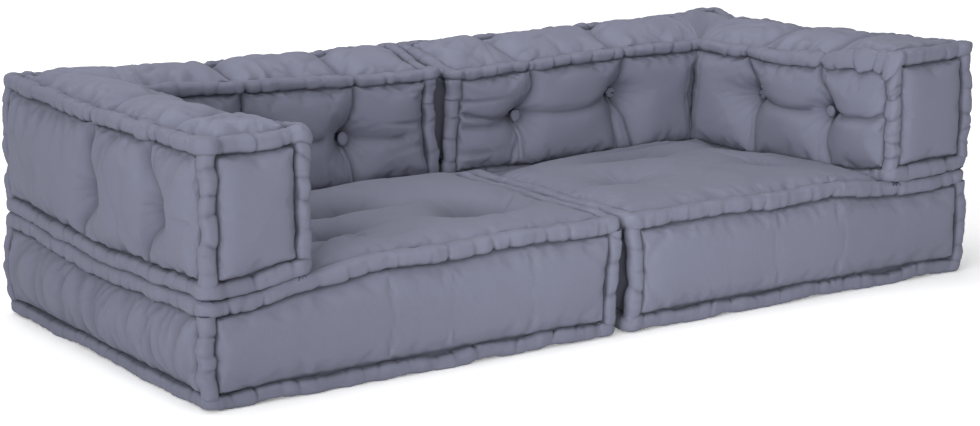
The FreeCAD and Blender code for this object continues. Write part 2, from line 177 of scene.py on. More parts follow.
def arc(x, start, end):
    """sin(pi t), t = (x - start) / (end - start) kept in 0..1."""
    return np.sin(np.pi * np.clip((x - start) / (end - start), 0, 1))


def limited(x, limit, play):
    """x below the limit, and limit + play tanh((x - limit) / play) above it."""
    return np.where(x > limit, limit + play * np.tanh((x - limit) / play), x)


def in_from_seat(u, v):
    """Distance in from the bolster's inner edges, hypot(arm_seam - u, v - back_seam), below 0 over the seat."""
    inside = np.hypot(np.maximum(arm_seam - u, 0), np.maximum(v - back_seam, 0))
    return np.where((u > arm_seam) & (v < back_seam), -np.minimum(u - arm_seam, back_seam - v), inside)


def pressed(u, v, side):
    """Height of the joint of seat and bolster over its even level: humps, down along the left outer side."""
    if side == "right":
        return 9 * hump(v, 0, 250) * ease(u, 300, 160)
    down = (9 * hump(v, 0, 150) + 18 * hump(v, 320, 190)) * ease(u, arm_seam, 0)
    return 9 * hump(v, 0, 200) * ease(u, 60, arm_seam) * ease(u, 300, 160) - down


def settle(points, side, block):
    """Sag and lean of the stuffed module, as sums of products of ease, hump and arc.

    The bolster's inner bottom edge sinks into the seat and its inner top edge is low; the seat stands 20 mm
    higher along its open sides; the outer corners rise, the outer faces bow, and the free ends lean away
    from each other.
    """
    u, v, z = np.asarray(points, float).T
    if block == "bolster":
        z = z - 25 * ease(in_from_seat(u, v), 75, 0) * ease(z, 262, 175) * ease(v, -25, 130)
        bow = arc(z, *seat_levels)
        tucked = 0.0
        z = z + pressed(u, v, side) * ease(z, 340, 180)
    else:
        bow = arc(z, *seat_levels)
        tucked = 10 * ease(z, 120, 20) if side == "left" else 7 * arc(z, 0, seat_height)
        raised = 20 * ease(u, arm_seam, 290) * ease(v, 490, 390)
        z = z + (pressed(u, v, side) + raised) * ease(z, 0, seat_levels[1])
    rise = np.clip((z - bolster_levels[0]) / (bolster_levels[1] - bolster_levels[0]), 0, 1.12)
    arch = arc(rise, 0, 1)
    if side == "left":
        lean = 6.0
        outwards = 7 * bow + 2 * arch - 4 * ease(rise, 0, 0.4)
        along_back = 5 + 16 * ease(u, 170, 660)
        along_arm = 4 * ease(v, 0, 480) - 7 * hump(v, 0, 120)
        lifted = 6 * hump(u, 0, 110) * hump(v, 0, 170) + 12 * hump(u, 0, 150) * hump(v, module_depth, 170)
    else:
        lean = 12.0
        outwards = 4.5 * bow + 6 * arch + 9
        along_back = 20 + 7 * ease(u, 300, module_width)
        along_arm = 4 + 15 * ease(v, 60, 480) - 16 * hump(v, 0, 130)
        lifted = 19 * hump(u, 0, 110) * hump(v, 0, 240) + 7 * hump(u, 0, 150) * hump(v, module_depth, 170)
    bow = bow + 1.3 * arch
    in_arm = ease(u, 175, 150) * ease(v, 540, 480)
    over_back = (1 - in_arm) * along_back * ease(v, rear_seam, back_seam)
    sunk = over_back + in_arm * along_arm * ease(u, outer_seam, arm_seam)
    smile = -6.0 * arc(u, outer_seam, arm_seam) * hump(v, 0, 45)
    wave = 1.6 * np.sin(u / 37 + v / 29) + 1.2 * np.sin(v / 61 - u / 83 + 2)
    slack = 1.0 + 2.0 * ease(v, 150, 0) + 2.5 * ease(v, 430, back_seam) * ease(v, 625, 560)
    pulled = slack * np.clip(bow, 0, 1) + lean * rise * ease(v, rear_seam, 500) + tucked
    joint = hump(z, seat_height, 26)
    spread = outwards * ease(u, 150, 0) + pulled * ease(u, 400, module_width)
    if (side, block) == ("right", "bolster"):
        u = u + 11 * hump(u, arm_seam, 70) * hump(v, back_seam, 70) * ease(z, 340, 200)
    x = u - spread + 3.0 * ease(u, 650, module_width) * ease(v, 530, 600)
    y = v - 2.5 * bow * ease(v, 300, 0) + 7.0 * bow * ease(v, 340, module_depth)
    z = z - sunk * rise**1.5 + lifted * rise + joint * (smile + wave)
    return np.stack([limited(x, 687, 5.4), y, np.maximum(limited(z, 374, 6), 0.4)], axis=1)


def in_row(points, side, block):
    """Millimetres of a module, settled, to metres of the row, whose middle lies between the modules."""
    u, v, z = settle(points, side, block).T
    middle = module_width + module_spacing / 2
    x = u - middle if side == "left" else middle - u
    return np.stack([x, v - module_depth / 2, z], axis=1) / 1000


# Covers. Each block is one closed sewn cover of plain slate-blue cotton: the seat a box, the bolster an L.
# Loose cotton fills it between the seams, and the tufting twines draw it in.


def piece(name, points, quads, side, material, nodes, cloth, crease=None):
    """Mesh object of one sewn piece, smooth, with its cloth map in metres and its painted crease shade, on its
    module.
    """
    if side == "right":
        quads, cloth = quads[:, ::-1], cloth[:, ::-1]
    mesh = bpy.data.meshes.new(name)
    block = "bolster" if "_bolster_" in name else "seat"
    mesh.from_pydata(in_row(points, side, block).tolist(), [], quads.tolist())
    mesh.shade_smooth()
    mesh.uv_layers.new(name="cloth").data.foreach_set("uv", (cloth / 1000).ravel())
    # The crease attribute carries painted shade, which the cotton material reads.
    if crease is not None:
        mesh.attributes.new("crease", "FLOAT", "POINT").data.foreach_set("value", crease)
    mesh.materials.append(material)
    made = bpy.data.objects.new(name, mesh)
    scene.collection.objects.link(made)
    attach(made, f"{side}_module")
    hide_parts(*[f"{side}_{node}" for node in nodes])
    return made


def cotton(name, dye, thread_gap, weave_depth):
    """Matt dyed cotton on the piece's own UV map, which is in metres of cloth.

    Weave: the product of two sine waves at right angles, each wave two threads, drawn about twice as coarse
    as real so that it shows. Shade: patches of +-4 percent, times 1 - 0.6 crease, where the crease attribute
    is painted shade in seams, folds, tufts and hollows, and painted light where it is below 0.
    """
    material = bpy.data.materials.new(name)
    tree = new_tree(material)
    cloth = add(tree, "ShaderNodeUVMap", uv_map="cloth").outputs[0]
    waves = []
    for turn in (0.0, np.pi / 2):
        laid = add(tree, "ShaderNodeMapping", [(cloth, "Vector")], Rotation=(0, 0, turn))
        threads = dict(Scale=0.5 / thread_gap / np.pi, Distortion=1.2, Detail=1.0)
        waves.append(add(tree, "ShaderNodeTexWave", [(laid.outputs[0], "Vector")], **threads).outputs["Fac"])
    crossed = add(tree, "ShaderNodeMath", [(waves[0], 0), (waves[1], 1)], operation="MULTIPLY")
    place = add(tree, "ShaderNodeTexCoord").outputs["Object"]
    rumple = add(tree, "ShaderNodeTexNoise", [(place, "Vector")], Scale=38.0, Detail=3.0)
    rumpled = add(tree, "ShaderNodeBump", [(rumple.outputs["Fac"], "Height")], Strength=0.35, Distance=0.0022)
    relief = [(crossed.outputs[0], "Height"), (rumpled.outputs[0], "Normal")]
    woven = add(tree, "ShaderNodeBump", relief, Strength=0.3, Distance=weave_depth)
    patches = add(tree, "ShaderNodeTexNoise", [(place, "Vector")], Scale=7.0, Detail=4.0)
    uneven = dict(From_Min=0.3, From_Max=0.7, To_Min=0.96, To_Max=1.04)
    shade = add(tree, "ShaderNodeMapRange", [(patches.outputs["Fac"], "Value")], **uneven)
    # Painted shade: the crease attribute darkens the colour down to 0.4 in seams, folds, tufts and hollows,
    # where shade falls; a crease below 0 paints the colour paler, as painted light.
    crease = add(tree, "ShaderNodeAttribute", attribute_name="crease").outputs["Fac"]
    painted_shade_factor = add(tree, "ShaderNodeMapRange", [(crease, "Value")], clamp=False, To_Min=1.0, To_Max=0.4)
    both = add(tree, "ShaderNodeMath", [(shade.outputs[0], 0), (painted_shade_factor.outputs[0], 1)], operation="MULTIPLY")
    dyed = add(tree, "ShaderNodeHueSaturation", [(both.outputs[0], "Value")], Color=colour(dye))
    surface = add(
        tree,
        "ShaderNodeBsdfPrincipled",
        [(dyed.outputs[0], "Base Color"), (woven.outputs[0], "Normal")],
        Roughness=0.92,
        Specular_IOR_Level=0.12,
        Sheen_Weight=0.04,
        Sheen_Roughness=0.5,
    )
    add(tree, "ShaderNodeOutputMaterial", [(surface.outputs[0], "Surface")])
    return material


# Plain-woven cotton, washed: matt, with a faint grain, and painted shade in its seams and creases.
cover_cotton = cotton("slate_blue_cotton_cover", "6b6d7d", 0.0014, 0.0005)


def spaced(stops, step, close=()):
    """Lattice lines through all stops, even in count between two.

    The gap is the step, and falls near each centre c to step - (step - fine) exp(-((x - c) / reach)^2).
    """
    lines = [np.array([stops[0]], float)]
    for start, end in zip(stops[:-1], stops[1:]):
        x = np.linspace(start, end, 1501)
        gap = np.full_like(x, step)
        for centre, fine, reach in close:
            gap = np.minimum(gap, step - (step - fine) * hump(x, centre, reach))
        count = np.concatenate([[0], np.cumsum((x[1] - x[0]) * 2 / (gap[1:] + gap[:-1]))])
        cells = 2 * max(1, int(np.ceil(count[-1] / 2)))
        lines.append(np.interp(np.linspace(0, count[-1], cells + 1), count, x)[1:])
    return np.concatenate(lines)


def seam_lines(*seams):
    """Close lattice lines 13 mm beside the seams, where the panel dips to the stitches."""
    return [(seam + way * 13.0, 2.0, 5.5) for seam, way in seams]


def skin(lattice, inside):
    """Closed quad skin of the cells marked inside: one quad where an inside cell meets an outside one."""
    nu, nv, nz = (len(lines) for lines in lattice)
    cells = np.zeros((nu + 1, nv + 1), bool)
    cells[1:-1, 1:-1] = inside
    k = np.arange(nz - 1)[None, :]
    quads, axes = [], []

    def number(i, j, k):
        return (i * nv + j) * nz + k

    def keep(corners, out, axis):
        corners = np.stack(corners, axis=-1).reshape(-1, 4)
        out = np.repeat(out, corners.shape[0] // out.size)
        corners[~out] = corners[~out][:, ::-1]
        quads.append(corners)
        axes.append(np.full(len(corners), axis))

    i, j = np.nonzero(cells[1:, 1:-1] != cells[:-1, 1:-1])
    out = cells[:-1, 1:-1][i, j]
    i, j = i[:, None], j[:, None]
    keep([number(i, j, k), number(i, j + 1, k), number(i, j + 1, k + 1), number(i, j, k + 1)], out, 0)
    i, j = np.nonzero(cells[1:-1, 1:] != cells[1:-1, :-1])
    out = cells[1:-1, :-1][i, j]
    i, j = i[:, None], j[:, None]
    keep([number(i, j, k), number(i, j, k + 1), number(i + 1, j, k + 1), number(i + 1, j, k)], out, 1)
    i, j = np.nonzero(inside)
    for level, out in ((nz - 1, True), (0, False)):
        face = [number(i, j, level), number(i + 1, j, level)]
        face += [number(i + 1, j + 1, level), number(i, j + 1, level)]
        keep(face, np.full(i.size, out), 2)
    quads, axes = np.concatenate(quads), np.concatenate(axes)
    used, quads = np.unique(quads, return_inverse=True)
    where = np.stack(np.unravel_index(used, (nu, nv, nz)), axis=1)
    return where, quads.reshape(-1, 4), axes


def at_nodes(lattice, where):
    """Places in mm of the lattice nodes whose three line numbers are given."""
    return np.stack([lattice[k][where[:, k]] for k in range(3)], axis=1)


# The stitches run just inside the roll, at this distance from the seam.
stitch_line = 11.5


def beside_line(a, b, p, q):
    """Distance from the line p to q, |r - t (q - p)|, and how far along it, t = r . (q - p) / |q - p|^2."""
    way = np.subtract(q, p)
    t = np.clip(((a - p[0]) * way[0] + (b - p[1]) * way[1]) / (way @ way), 0, 1)
    return np.hypot(a - p[0] - t * way[0], b - p[1] - t * way[1]), t


def edge_distance(a, b, outline, starts):
    """Distance to the nearest stitch line: sides of the outline, each moved in by its own start."""
    nearest = np.full(a.shape, 1e9)
    outline = np.asarray(outline, float)
    for p, q, start in zip(outline, np.roll(outline, -1, axis=0), starts):
        nearest = np.minimum(nearest, beside_line(a, b, p, q)[0] - start)
    return np.maximum(nearest, 0)


def curved(points, steps=4):
    """Smooth line through the points, between b and c with a before and d after.

    Each span is (2 b + (c - a) t + (2 a - 5 b + 4 c - d) t^2 + (3 b - a - 3 c + d) t^3) / 2.
    """
    p = np.asarray(points, float)
    p = np.vstack([2 * p[0] - p[1], p, 2 * p[-1] - p[-2]])
    a, b, c, d = (p[k : len(p) - 3 + k, None, :] for k in range(4))
    t = np.linspace(0, 1, steps, endpoint=False)[None, :, None]
    spans = 2 * b + (c - a) * t + (2 * a - 5 * b + 4 * c - d) * t**2 + (3 * b - a - 3 * c + d) * t**3
    return np.vstack([spans.reshape(-1, 2) / 2, p[-2]])


def rumples(a, b, size, wave, seed):
    """Crease net and its lines: size (0.4 f - l), l = exp(-(f / 0.24)^2) fade, both sums of eight sines."""
    rng = np.random.default_rng(seed)
    sums = []
    for length in (wave, 3 * wave):
        turn, phase = rng.uniform(0, 2 * np.pi, (2, 8))
        k = 2 * np.pi / (length * rng.uniform(0.7, 1.5, 8))
        sines = np.sin(np.outer(a, k * np.cos(turn)) + np.outer(b, k * np.sin(turn)) + phase)
        sums.append(sines.sum(axis=1) / 2)
    line = hump(sums[0], 0, 0.24) * ease(sums[1], -0.4, 1.2)
    return size * (0.4 * sums[0] - line), line


def groove(a, b, line, depths, width, sharp=False):
    """Fold along a smooth line: depth exp(-(d / width)^2), or exp(-d / width) where sharp, depth along it."""
    line = curved(line)
    low, high = line.min(axis=0) - 5 * width, line.max(axis=0) + 5 * width
    close = (a > low[0]) & (a < high[0]) & (b > low[1]) & (b < high[1])
    height = np.zeros(a.shape)
    a, b = a[close], b[close]
    nearest, along, run = np.full(a.shape, 1e9), np.zeros(a.shape), 0.0
    for p, q in zip(line[:-1], line[1:]):
        length = np.hypot(*(q - p))
        d, t = beside_line(a, b, p, q)
        along = np.where(d < nearest, run + t * length, along)
        nearest = np.minimum(nearest, d)
        run += length
    depth = np.interp(along / run, np.linspace(0, 1, len(depths)), depths)
    if sharp:
        height[close] = depth * np.exp(-(np.sqrt(nearest**2 + 0.6) - 0.77) / width)
    else:
        height[close] = depth * hump(nearest, 0, width)
    return height


def funnel(a, b, centre, depth, mouth):
    """Pull of one twine: depth * exp(-(sqrt(r^2 + 49) - 7) / mouth), r from the tuft's centre."""
    r = np.hypot(a - centre[0], b - centre[1])
    return depth * np.exp(-(np.sqrt(r**2 + 49) - 7) / mouth)


def puckers(a, b, centre, size, count, phase):
    """Radial gathers round a tuft: size (|cos(count angle / 2)| - 0.6) in a ring from the button outwards."""
    r = np.hypot(a - centre[0], b - centre[1])
    angle = np.arctan2(b - centre[1], a - centre[0])
    ring = hump(r, 22, 17) * ease(r, 7, 18)
    wave = np.abs(np.cos(count * angle / 2 + phase + 0.6 * np.sin(3 * angle + phase)))
    return size * (wave - 0.6) * ring


def bowl(a, b, centre, depth, across, near, far):
    """Hollow round a sunk tuft: depth exp(-r^1.6), r = hypot(da / across, db / near or far), steep in front."""
    ahead = b - centre[1]
    r = np.hypot((a - centre[0]) / across, ahead / np.where(ahead < 0, near, far))
    return depth * np.exp(-(r**1.6))


class Panel:
    """One flat side of a block: the axis that it faces, its plane, sign and outline in the other two axes.

    Lip and sill are its heights over the plane beside the roll and at the stitches, swell what it gains
    further in, over a length of about run. A bare side of the outline has no roll. Cap is the furthest that
    the simulation may move it.
    """

    def __init__(
        self, axis, plane, sign, outline, lip, swell,
        run=45.0, bare=None, sill=-1.0, rumple=(0.8, 80), cap=9.0,
    ):
        self.axis, self.plane, self.sign, self.outline = axis, plane, sign, np.asarray(outline, float)
        self.starts = [0.0 if number == bare else stitch_line for number in range(len(outline))]
        self.lip, self.swell, self.run, self.sill = lip, swell, run, sill
        # painted_shade_offset: painted shade over the whole panel; below 0 it is painted light instead.
        self.rumple, self.cap, self.painted_shade_offset = rumple, cap, 0.0
        self.tufts, self.valleys, self.folds, self.gathers, self.hollows = [], [], [], [], []

    def on(self, rest):
        """Which points lie on the panel, and their places in its own two axes."""
        across = [k for k in range(3) if k != self.axis]
        spread = rest[:, across]
        here = np.abs(rest[:, self.axis] - self.plane) < 1e-6
        here &= (spread >= self.outline.min(axis=0) - 1e-6).all(axis=1)
        here &= (spread <= self.outline.max(axis=0) + 1e-6).all(axis=1)
        return here, *spread[here].T

    def stuffed(self, a, b):
        """Height: lip - (lip - sill) exp(-d / 2) + swell (1 - exp(-d / run)), less tufts and valleys."""
        d = edge_distance(a, b, self.outline, self.starts)
        soft = 1 - np.exp(-d / 9)
        height = self.lip - (self.lip - self.sill) * np.exp(-d / 2.0)
        height = height + self.swell * (1 - np.exp(-d / self.run))
        for tuft in self.tufts:
            height -= funnel(a, b, *tuft)
        for valley in self.valleys:
            height -= groove(a, b, *valley) * soft
        return height

    def creased(self, a, b, seed):
        """Folds, gathers and puckers for the blown-up cover, and the painted shade of each point, dark in
        seams, folds, tufts and hollows.
        """
        d = edge_distance(a, b, self.outline, self.starts)
        soft = ease(d, -1, 5)
        size, wave = self.rumple
        height, line = rumples(a, b, size, wave, seed)
        height *= soft
        # Painted shade along the stitch lines and the crease net, plus the panel's painted shade offset.
        crease = 0.75 * hump(d, 0, 1.6) + 0.07 * size * line + self.painted_shade_offset
        for fold in self.folds:
            depth = groove(a, b, *fold, sharp=True) * soft
            height -= depth
            crease += np.maximum(depth, 0) / 9
        for gather in self.gathers:
            depth = groove(a, b, *gather) * soft
            height -= depth
            crease += depth / 20
        for number, (centre, depth, mouth) in enumerate(self.tufts):
            gathered = puckers(a, b, centre, 2.2 if depth > 14 else 1.0, 13 + number, 1.7 * number)
            height += gathered
            # Painted shade on the button and down in the sunk puckers round it.
            round_button = hump(np.hypot(a - centre[0], b - centre[1]), 0, 15)
            crease += 0.4 * round_button - 0.12 * np.minimum(gathered, 0)
        # Painted shade in the seat's tuft hollows, where they are deeper than 9 mm.
        for hollow in self.hollows:
            crease += np.maximum(bowl(a, b, *hollow) - 9, 0) / 42
        return height, np.clip(crease, -0.3, 1)


def sewn_block(name, growth, lattice, inside, panels, held, crown=None):
    """Cover before it is blown up: lattice skin, padded heights, and a group of what is held in place."""
    where, quads, axes = skin(lattice, inside)
    rest = at_nodes(lattice, where)
    lifted = np.zeros_like(rest)
    sides = np.zeros(len(rest), int)
    for axis in range(3):
        sides[np.unique(quads[axes == axis])] += 1
    pinned = (sides > 1) | held(rest)
    for panel in panels:
        here, a, b = panel.on(rest)
        lifted[here, panel.axis] += panel.sign * panel.stuffed(a, b)
        near = edge_distance(a, b, panel.outline, panel.starts) < 0.6
        for centre, depth, mouth in panel.tufts:
            near |= np.hypot(a - centre[0], b - centre[1]) < 7.5
        pinned[np.flatnonzero(here)[near]] = True
    if crown:
        on_top = np.abs(rest[:, 2] - lattice[2][-1]) < 1e-6
        lifted[on_top, 2] += crown(*rest[on_top, :2].T)
    mesh = bpy.data.meshes.new(name)
    mesh.from_pydata(((rest + lifted) / 1000).tolist(), [], quads.tolist())
    cover = bpy.data.objects.new(name, mesh)
    scene.collection.objects.link(cover)
    cover.vertex_groups.new(name="held").add(np.flatnonzero(pinned).tolist(), 1.0, "REPLACE")
    keep = dict(lattice=lattice, inside=inside, panels=panels, where=where, rest=rest, lifted=lifted)
    return dict(cover=cover, growth=growth, **keep)


def blow_up(blocks, frames=20):
    """Stuffs the sewn covers: cloth under even pressure from inside, held at seams and tufts, read back."""
    for block in blocks:
        cloth = block["cover"].modifiers.new("stuffing", "CLOTH")
        cloth.point_cache.frame_start, cloth.point_cache.frame_end = 1, frames
        stuff = cloth.settings
        stuff.quality = 5
        stuff.mass = 0.3
        stuff.tension_stiffness = stuff.compression_stiffness = 15
        stuff.shear_stiffness = 5
        stuff.bending_stiffness = 0.3
        stuff.air_damping = 2
        stuff.use_pressure = True
        stuff.uniform_pressure_force = 4.0
        stuff.vertex_group_mass = "held"
        stuff.shrink_min = -block["growth"]
        stuff.effector_weights.gravity = 0
    for number in range(1, frames + 1):
        scene.frame_set(number)
    graph = bpy.context.evaluated_depsgraph_get()
    for block in blocks:
        blown = block["cover"].evaluated_get(graph).to_mesh()
        points = np.empty(len(blown.vertices) * 3)
        blown.vertices.foreach_get("co", points)
        block["shape"] = points.reshape(-1, 3) * 1000
    scene.frame_set(1)


def halved(field, axis):
    """Field on the lattice with a line between each two: (-f[i-1] + 9 f[i] + 9 f[i+1] - f[i+2]) / 16."""
    field = np.moveaxis(field, axis, 0)
    padded = np.concatenate([2 * field[:1] - field[1:2], field, 2 * field[-1:] - field[-2:-1]])
    fuller = np.empty((2 * len(field) - 1, *field.shape[1:]))
    fuller[::2] = field
    fuller[1::2] = (9 * (padded[1:-2] + padded[2:-1]) - padded[:-3] - padded[3:]) / 16
    return np.moveaxis(fuller, 0, axis)


def halfway(lines):
    """Lattice lines with one more in the middle between each two."""
    both = np.empty(2 * len(lines) - 1)
    both[::2] = lines
    both[1::2] = (lines[1:] + lines[:-1]) / 2
    return both


def finished_cover(name, side, block, nodes):
    """Cover as it is seen: the blown-up shape, twice as fine, with its creases and their painted shade.

    No point moves further than its panel's cap: m cap tanh(|m| / cap) / |m|, m the move of the simulation.
    """
    rest, lifted = block["rest"], block["lifted"]
    moved = block.get("shape", rest + lifted) - rest - lifted
    cap = np.full((len(rest), 1), 9.0)
    for panel in block["panels"]:
        cap[panel.on(rest)[0]] = panel.cap
    far = np.linalg.norm(moved, axis=1, keepdims=True)
    moved *= cap * np.tanh(far / cap) / np.maximum(far, 1e-9)
    field = np.zeros((*(len(lines) for lines in block["lattice"]), 3))
    field[tuple(block["where"].T)] = lifted + moved
    block["shift"] = field
    for axis in range(3):
        field = halved(field, axis)
    fine = [halfway(lines) for lines in block["lattice"]]
    where, quads, axes = skin(fine, np.repeat(np.repeat(block["inside"], 2, axis=0), 2, axis=1))
    rest = at_nodes(fine, where)
    points = rest + field[tuple(where.T)]
    # Painted shade of each point, the darkest that any of its panels gives.
    crease = np.full(len(points), -1.0)
    for number, panel in enumerate(block["panels"]):
        here, a, b = panel.on(rest)
        height, deep = panel.creased(a, b, number + (50 if side == "right" else 20))
        points[here, panel.axis] += panel.sign * height
        crease[here] = np.maximum(crease[here], deep)
    cloth = rest[quads][:, :, [0, 1]]
    for axis, across in ((0, [1, 2]), (1, [0, 2])):
        cloth[axes == axis] = rest[quads[axes == axis]][:, :, across]
    made = piece(name, points, quads, side, cover_cotton, nodes, cloth, crease)


def rectangle(a0, a1, b0, b1):
    return [(a0, b0), (a1, b0), (a1, b1), (a0, b1)]


def seam_pinches(corners, levels, rng, gaps=(24, 50)):
    """Places of the stitches that pinch the roll, for every side of a loop, from that side's first corner."""
    pinches = {}
    for level in levels:
        for number, (p, q) in enumerate(zip(corners, corners[1:] + corners[:1])):
            length = np.hypot(q[0] - p[0], q[1] - p[1])
            steps = np.cumsum(rng.uniform(*gaps, 60)) - rng.uniform(0, 30)
            pinches[level, number] = steps[(steps > 16) & (steps < length - 16)]
    return pinches


def gathers_at(panel, start, way, inward, places, rng, size, reach, width, drawn_to=()):
    """Folds that run from each stitch into the panel and die out, leaning to the nearest tuft, if any."""
    start, way, inward = np.array(start), np.array(way), np.array(inward)
    for place in places:
        long = reach * rng.uniform(0.5, 1.3)
        lean = rng.uniform(-0.3, 0.3) * long
        if drawn_to:
            near = min((tuft - place for tuft in drawn_to), key=abs)
            lean = 0.4 * lean + np.clip(near, -55, 55) * 0.45 * long / reach
        foot = start + way * place
        tip = foot + inward * long + way * lean
        middle = (foot + tip) / 2 + way * lean * 0.4
        depth = size * rng.uniform(0.5, 1.4)
        panel.gathers.append(([foot, middle, tip], (depth, depth * 0.7, 0.0), width * rng.uniform(0.8, 1.3)))


def pleat_places(length, rng, gaps):
    """Feet of the pleats that a long seam gathers, one every few centimetres or less."""
    places = np.cumsum(rng.uniform(*gaps, 80))
    return places[places < length - 14]


# Seat. A box cushion with a crowned top. Its three tufts are sunk deep in hollows, the bolster presses a
# trench along two sides, and the long seams are gathered.
seat_corners = [
    (outer_seam, front_seam),
    (end_seam, front_seam),
    (end_seam, rear_seam),
    (outer_seam, rear_seam),
]
seat_tufts = {
    "left": [(286, 164), (532, 151), (380, 275)],
    "right": [(270, 178), (548, 199), (402, 345)],
}
# Hollows of the tufts, then of the bolster's weight: centre, depth, and reach across, to the front and to
# the rear.
seat_hollows = {
    "left": [
        ((286, 164), 38, 50, 24, 60),
        ((532, 151), 46, 54, 22, 84),
        ((380, 275), 50, 62, 24, 104),
        ((563, 508), 17, 95, 75, 75),
        ((160, 69), 9, 50, 60, 60),
    ],
    "right": [
        ((270, 178), 12, 46, 26, 60),
        ((548, 199), 13, 55, 22, 70),
        ((402, 345), 27, 125, 28, 85),
        ((637, 415), 21, 72, 32, 62),
        ((587, 503), 14, 90, 70, 70),
        ((157, 385), 16, 90, 75, 75),
    ],
}
# Wrinkles that the photograph shows on the crown: line, depths along it and width; a depth below zero
# stands up.
seat_wrinkles = {
    "left": [
        ([(380, 275), (364, 314), (352, 359)], (3.5, 3.0, 0.0), 3.0),
        ([(380, 275), (394, 318), (400, 363)], (3.0, 2.6, 0.0), 3.0),
        ([(380, 275), (422, 302), (454, 346)], (2.6, 2.0, 0.0), 3.5),
        ([(170, 148), (215, 165), (263, 166)], (3.5, 3.5, 1.0), 3.5),
        ([(286, 164), (262, 126), (215, 79), (168, 59)], (3.0, 3.0, 2.6, 0.0), 5.0),
        ([(331, 135), (298, 104), (262, 65)], (0.0, 2.6, 0.0), 5.0),
        ([(532, 151), (561, 130), (586, 106)], (3.0, 2.0, 0.0), 5.0),
    ],
    "right": [
        ([(665, 406), (627, 429), (583, 443)], (0.0, 3.0, 0.0), 4.0),
        ([(673, 356), (637, 390), (597, 409)], (0.0, 3.0, 0.0), 4.0),
        ([(637, 305), (617, 355), (557, 398)], (0.0, 2.5, 0.0), 5.0),
        ([(437, 452), (337, 454), (237, 436), (193, 375), (187, 326)], (0.0, -4.0, -5.0, -4.0, 0.0), 6.0),
        ([(447, 436), (337, 438), (252, 420), (207, 366), (201, 316)], (0.0, 3.0, 4.0, 3.0, 0.0), 6.0),
        ([(402, 345), (337, 351), (287, 328)], (3.0, 2.0, 0.0), 4.0),
    ],
}


def seat_panels(side, pinches, rng):
    """The seat's five padded sides with their gathers; the bottom lies flat."""
    low, high = seat_levels
    across, deep = rectangle(outer_seam, end_seam, low, high), rectangle(front_seam, rear_seam, low, high)
    front = Panel(1, front_seam, -1, across, 9, 5, rumple=(0.3, 110), cap=4.5)
    rear = Panel(1, rear_seam, 1, across, 9, 6)
    outer = Panel(0, outer_seam, -1, deep, 9, 9, rumple=(1.0, 90))
    inner = Panel(0, end_seam, 1, deep, -7, 2, sill=-9.0, cap=3.0)
    # Painted shade: the inner end faces the narrow gap between the modules and is painted darker.
    inner.painted_shade_offset = 0.3
    top = Panel(2, high, 1, seat_corners, 10, 0, sill=5.5, rumple=(1.0, 120), cap=6.0)
    top.tufts = [(centre, 7, 9) for centre in seat_tufts[side]]
    # These hollows only paint shade: the seat top is painted darker in them.
    top.hollows = seat_hollows[side]
    top.folds = list(seat_wrinkles[side])
    # Start and way of each side's seam, then size, reach and width of its gathers.
    seams = {
        0: (front, outer_seam, 1, 0.5, 24, 5),
        1: (inner, front_seam, 1, 1.0, 30, 5),
        2: (rear, end_seam, -1, 3.4, 80, 6.0),
        3: (outer, rear_seam, -1, 4.8, 120, 6.2),
    }
    for (level, number), places in pinches.items():
        panel, start, way, size, reach, width = seams[number]
        up = 1 if level == low else -1
        if number > 1:
            places = pleat_places(seam_depth, rng, (16, 30) if level == high else (22, 46))
        gathers_at(panel, (start, level), (way, 0), (0, up), places, rng, size, reach, width)
    for start, way, inward in ((seat_corners[0], (1, 0), (0, 1)), (seat_corners[1], (0, 1), (-1, 0))):
        gathers_at(top, start, way, inward, pleat_places(seam_depth, rng, (11, 30)), rng, 2.0, 34, 4.0)
    return [front, rear, outer, inner, top]


def crown(u, v, side):
    """Extra height of the seat's open top, less a trench where the bolster's inner edge presses.

    Shoulder 6 (1 - exp(-d / 30)) along the free sides, a slow rise 5 sin sin, less the hollows.
    """
    free = np.minimum(v - front_seam, end_seam - u)
    shoulder = 6 * (1 - np.exp(-np.maximum(free - stitch_line, 0) / 30))
    slow = 5 * arc(u, 150, end_seam) * arc(v, front_seam, back_seam)
    dents = sum(bowl(u, v, *hollow) for hollow in seat_hollows[side])
    under = in_from_seat(u, v)
    trench = 24 * ease(under, -15, -7) * ease(under, 66, 18) * ease(v, 0, 130)
    return (shoulder + slow - dents) * ease(under, -5, -13) - trench


def seat_held(rest):
    """The seat's bottom lies on the floor, and its top is held under the bolster."""
    under = (rest[:, 0] < arm_seam - 4) | (rest[:, 1] > back_seam + 4)
    return (rest[:, 2] < seat_levels[0] + 1e-6) | (under & (rest[:, 2] > seat_levels[1] - 1e-6))


pinches = {}
blocks = {}
for side in modules:
    rng = np.random.default_rng({"left": 11, "right": 29}[side])
    pinches[side, "seat"] = seam_pinches(seat_corners, seat_levels, rng)
    panels = seat_panels(side, pinches[side, "seat"], rng)
    u_lines = seam_lines((outer_seam, 1), (end_seam, -1)) + [(u, 5, 22) for u, v in seat_tufts[side]]
    v_lines = seam_lines((front_seam, 1), (rear_seam, -1)) + [(v, 5, 22) for u, v in seat_tufts[side]]
    lattice = (
        spaced((outer_seam, end_seam), 8.5, u_lines),
        spaced((front_seam, rear_seam), 8.5, v_lines),
        spaced(seat_levels, 8.0, seam_lines((seat_levels[0], 1), (seat_levels[1], -1))),
    )
    inside = np.ones((len(lattice[0]) - 1, len(lattice[1]) - 1), bool)
    blocks[side, "seat"] = sewn_block(
        f"{side}_seat_sewn", 0.02, lattice, inside, panels, seat_held, lambda u, v: crown(u, v, side)
    )

# Bolster. Back and arm are one L-shaped block, lashed on the seat; the twines that go through it draw the
# inner and the outer faces towards each other, and deep creases run from the buttons to the seams.
bolster_corners = [
    (outer_seam, front_seam),
    (arm_seam, front_seam),
    (arm_seam, back_seam),
    (end_seam, back_seam),
    (end_seam, rear_seam),
    (outer_seam, rear_seam),
]
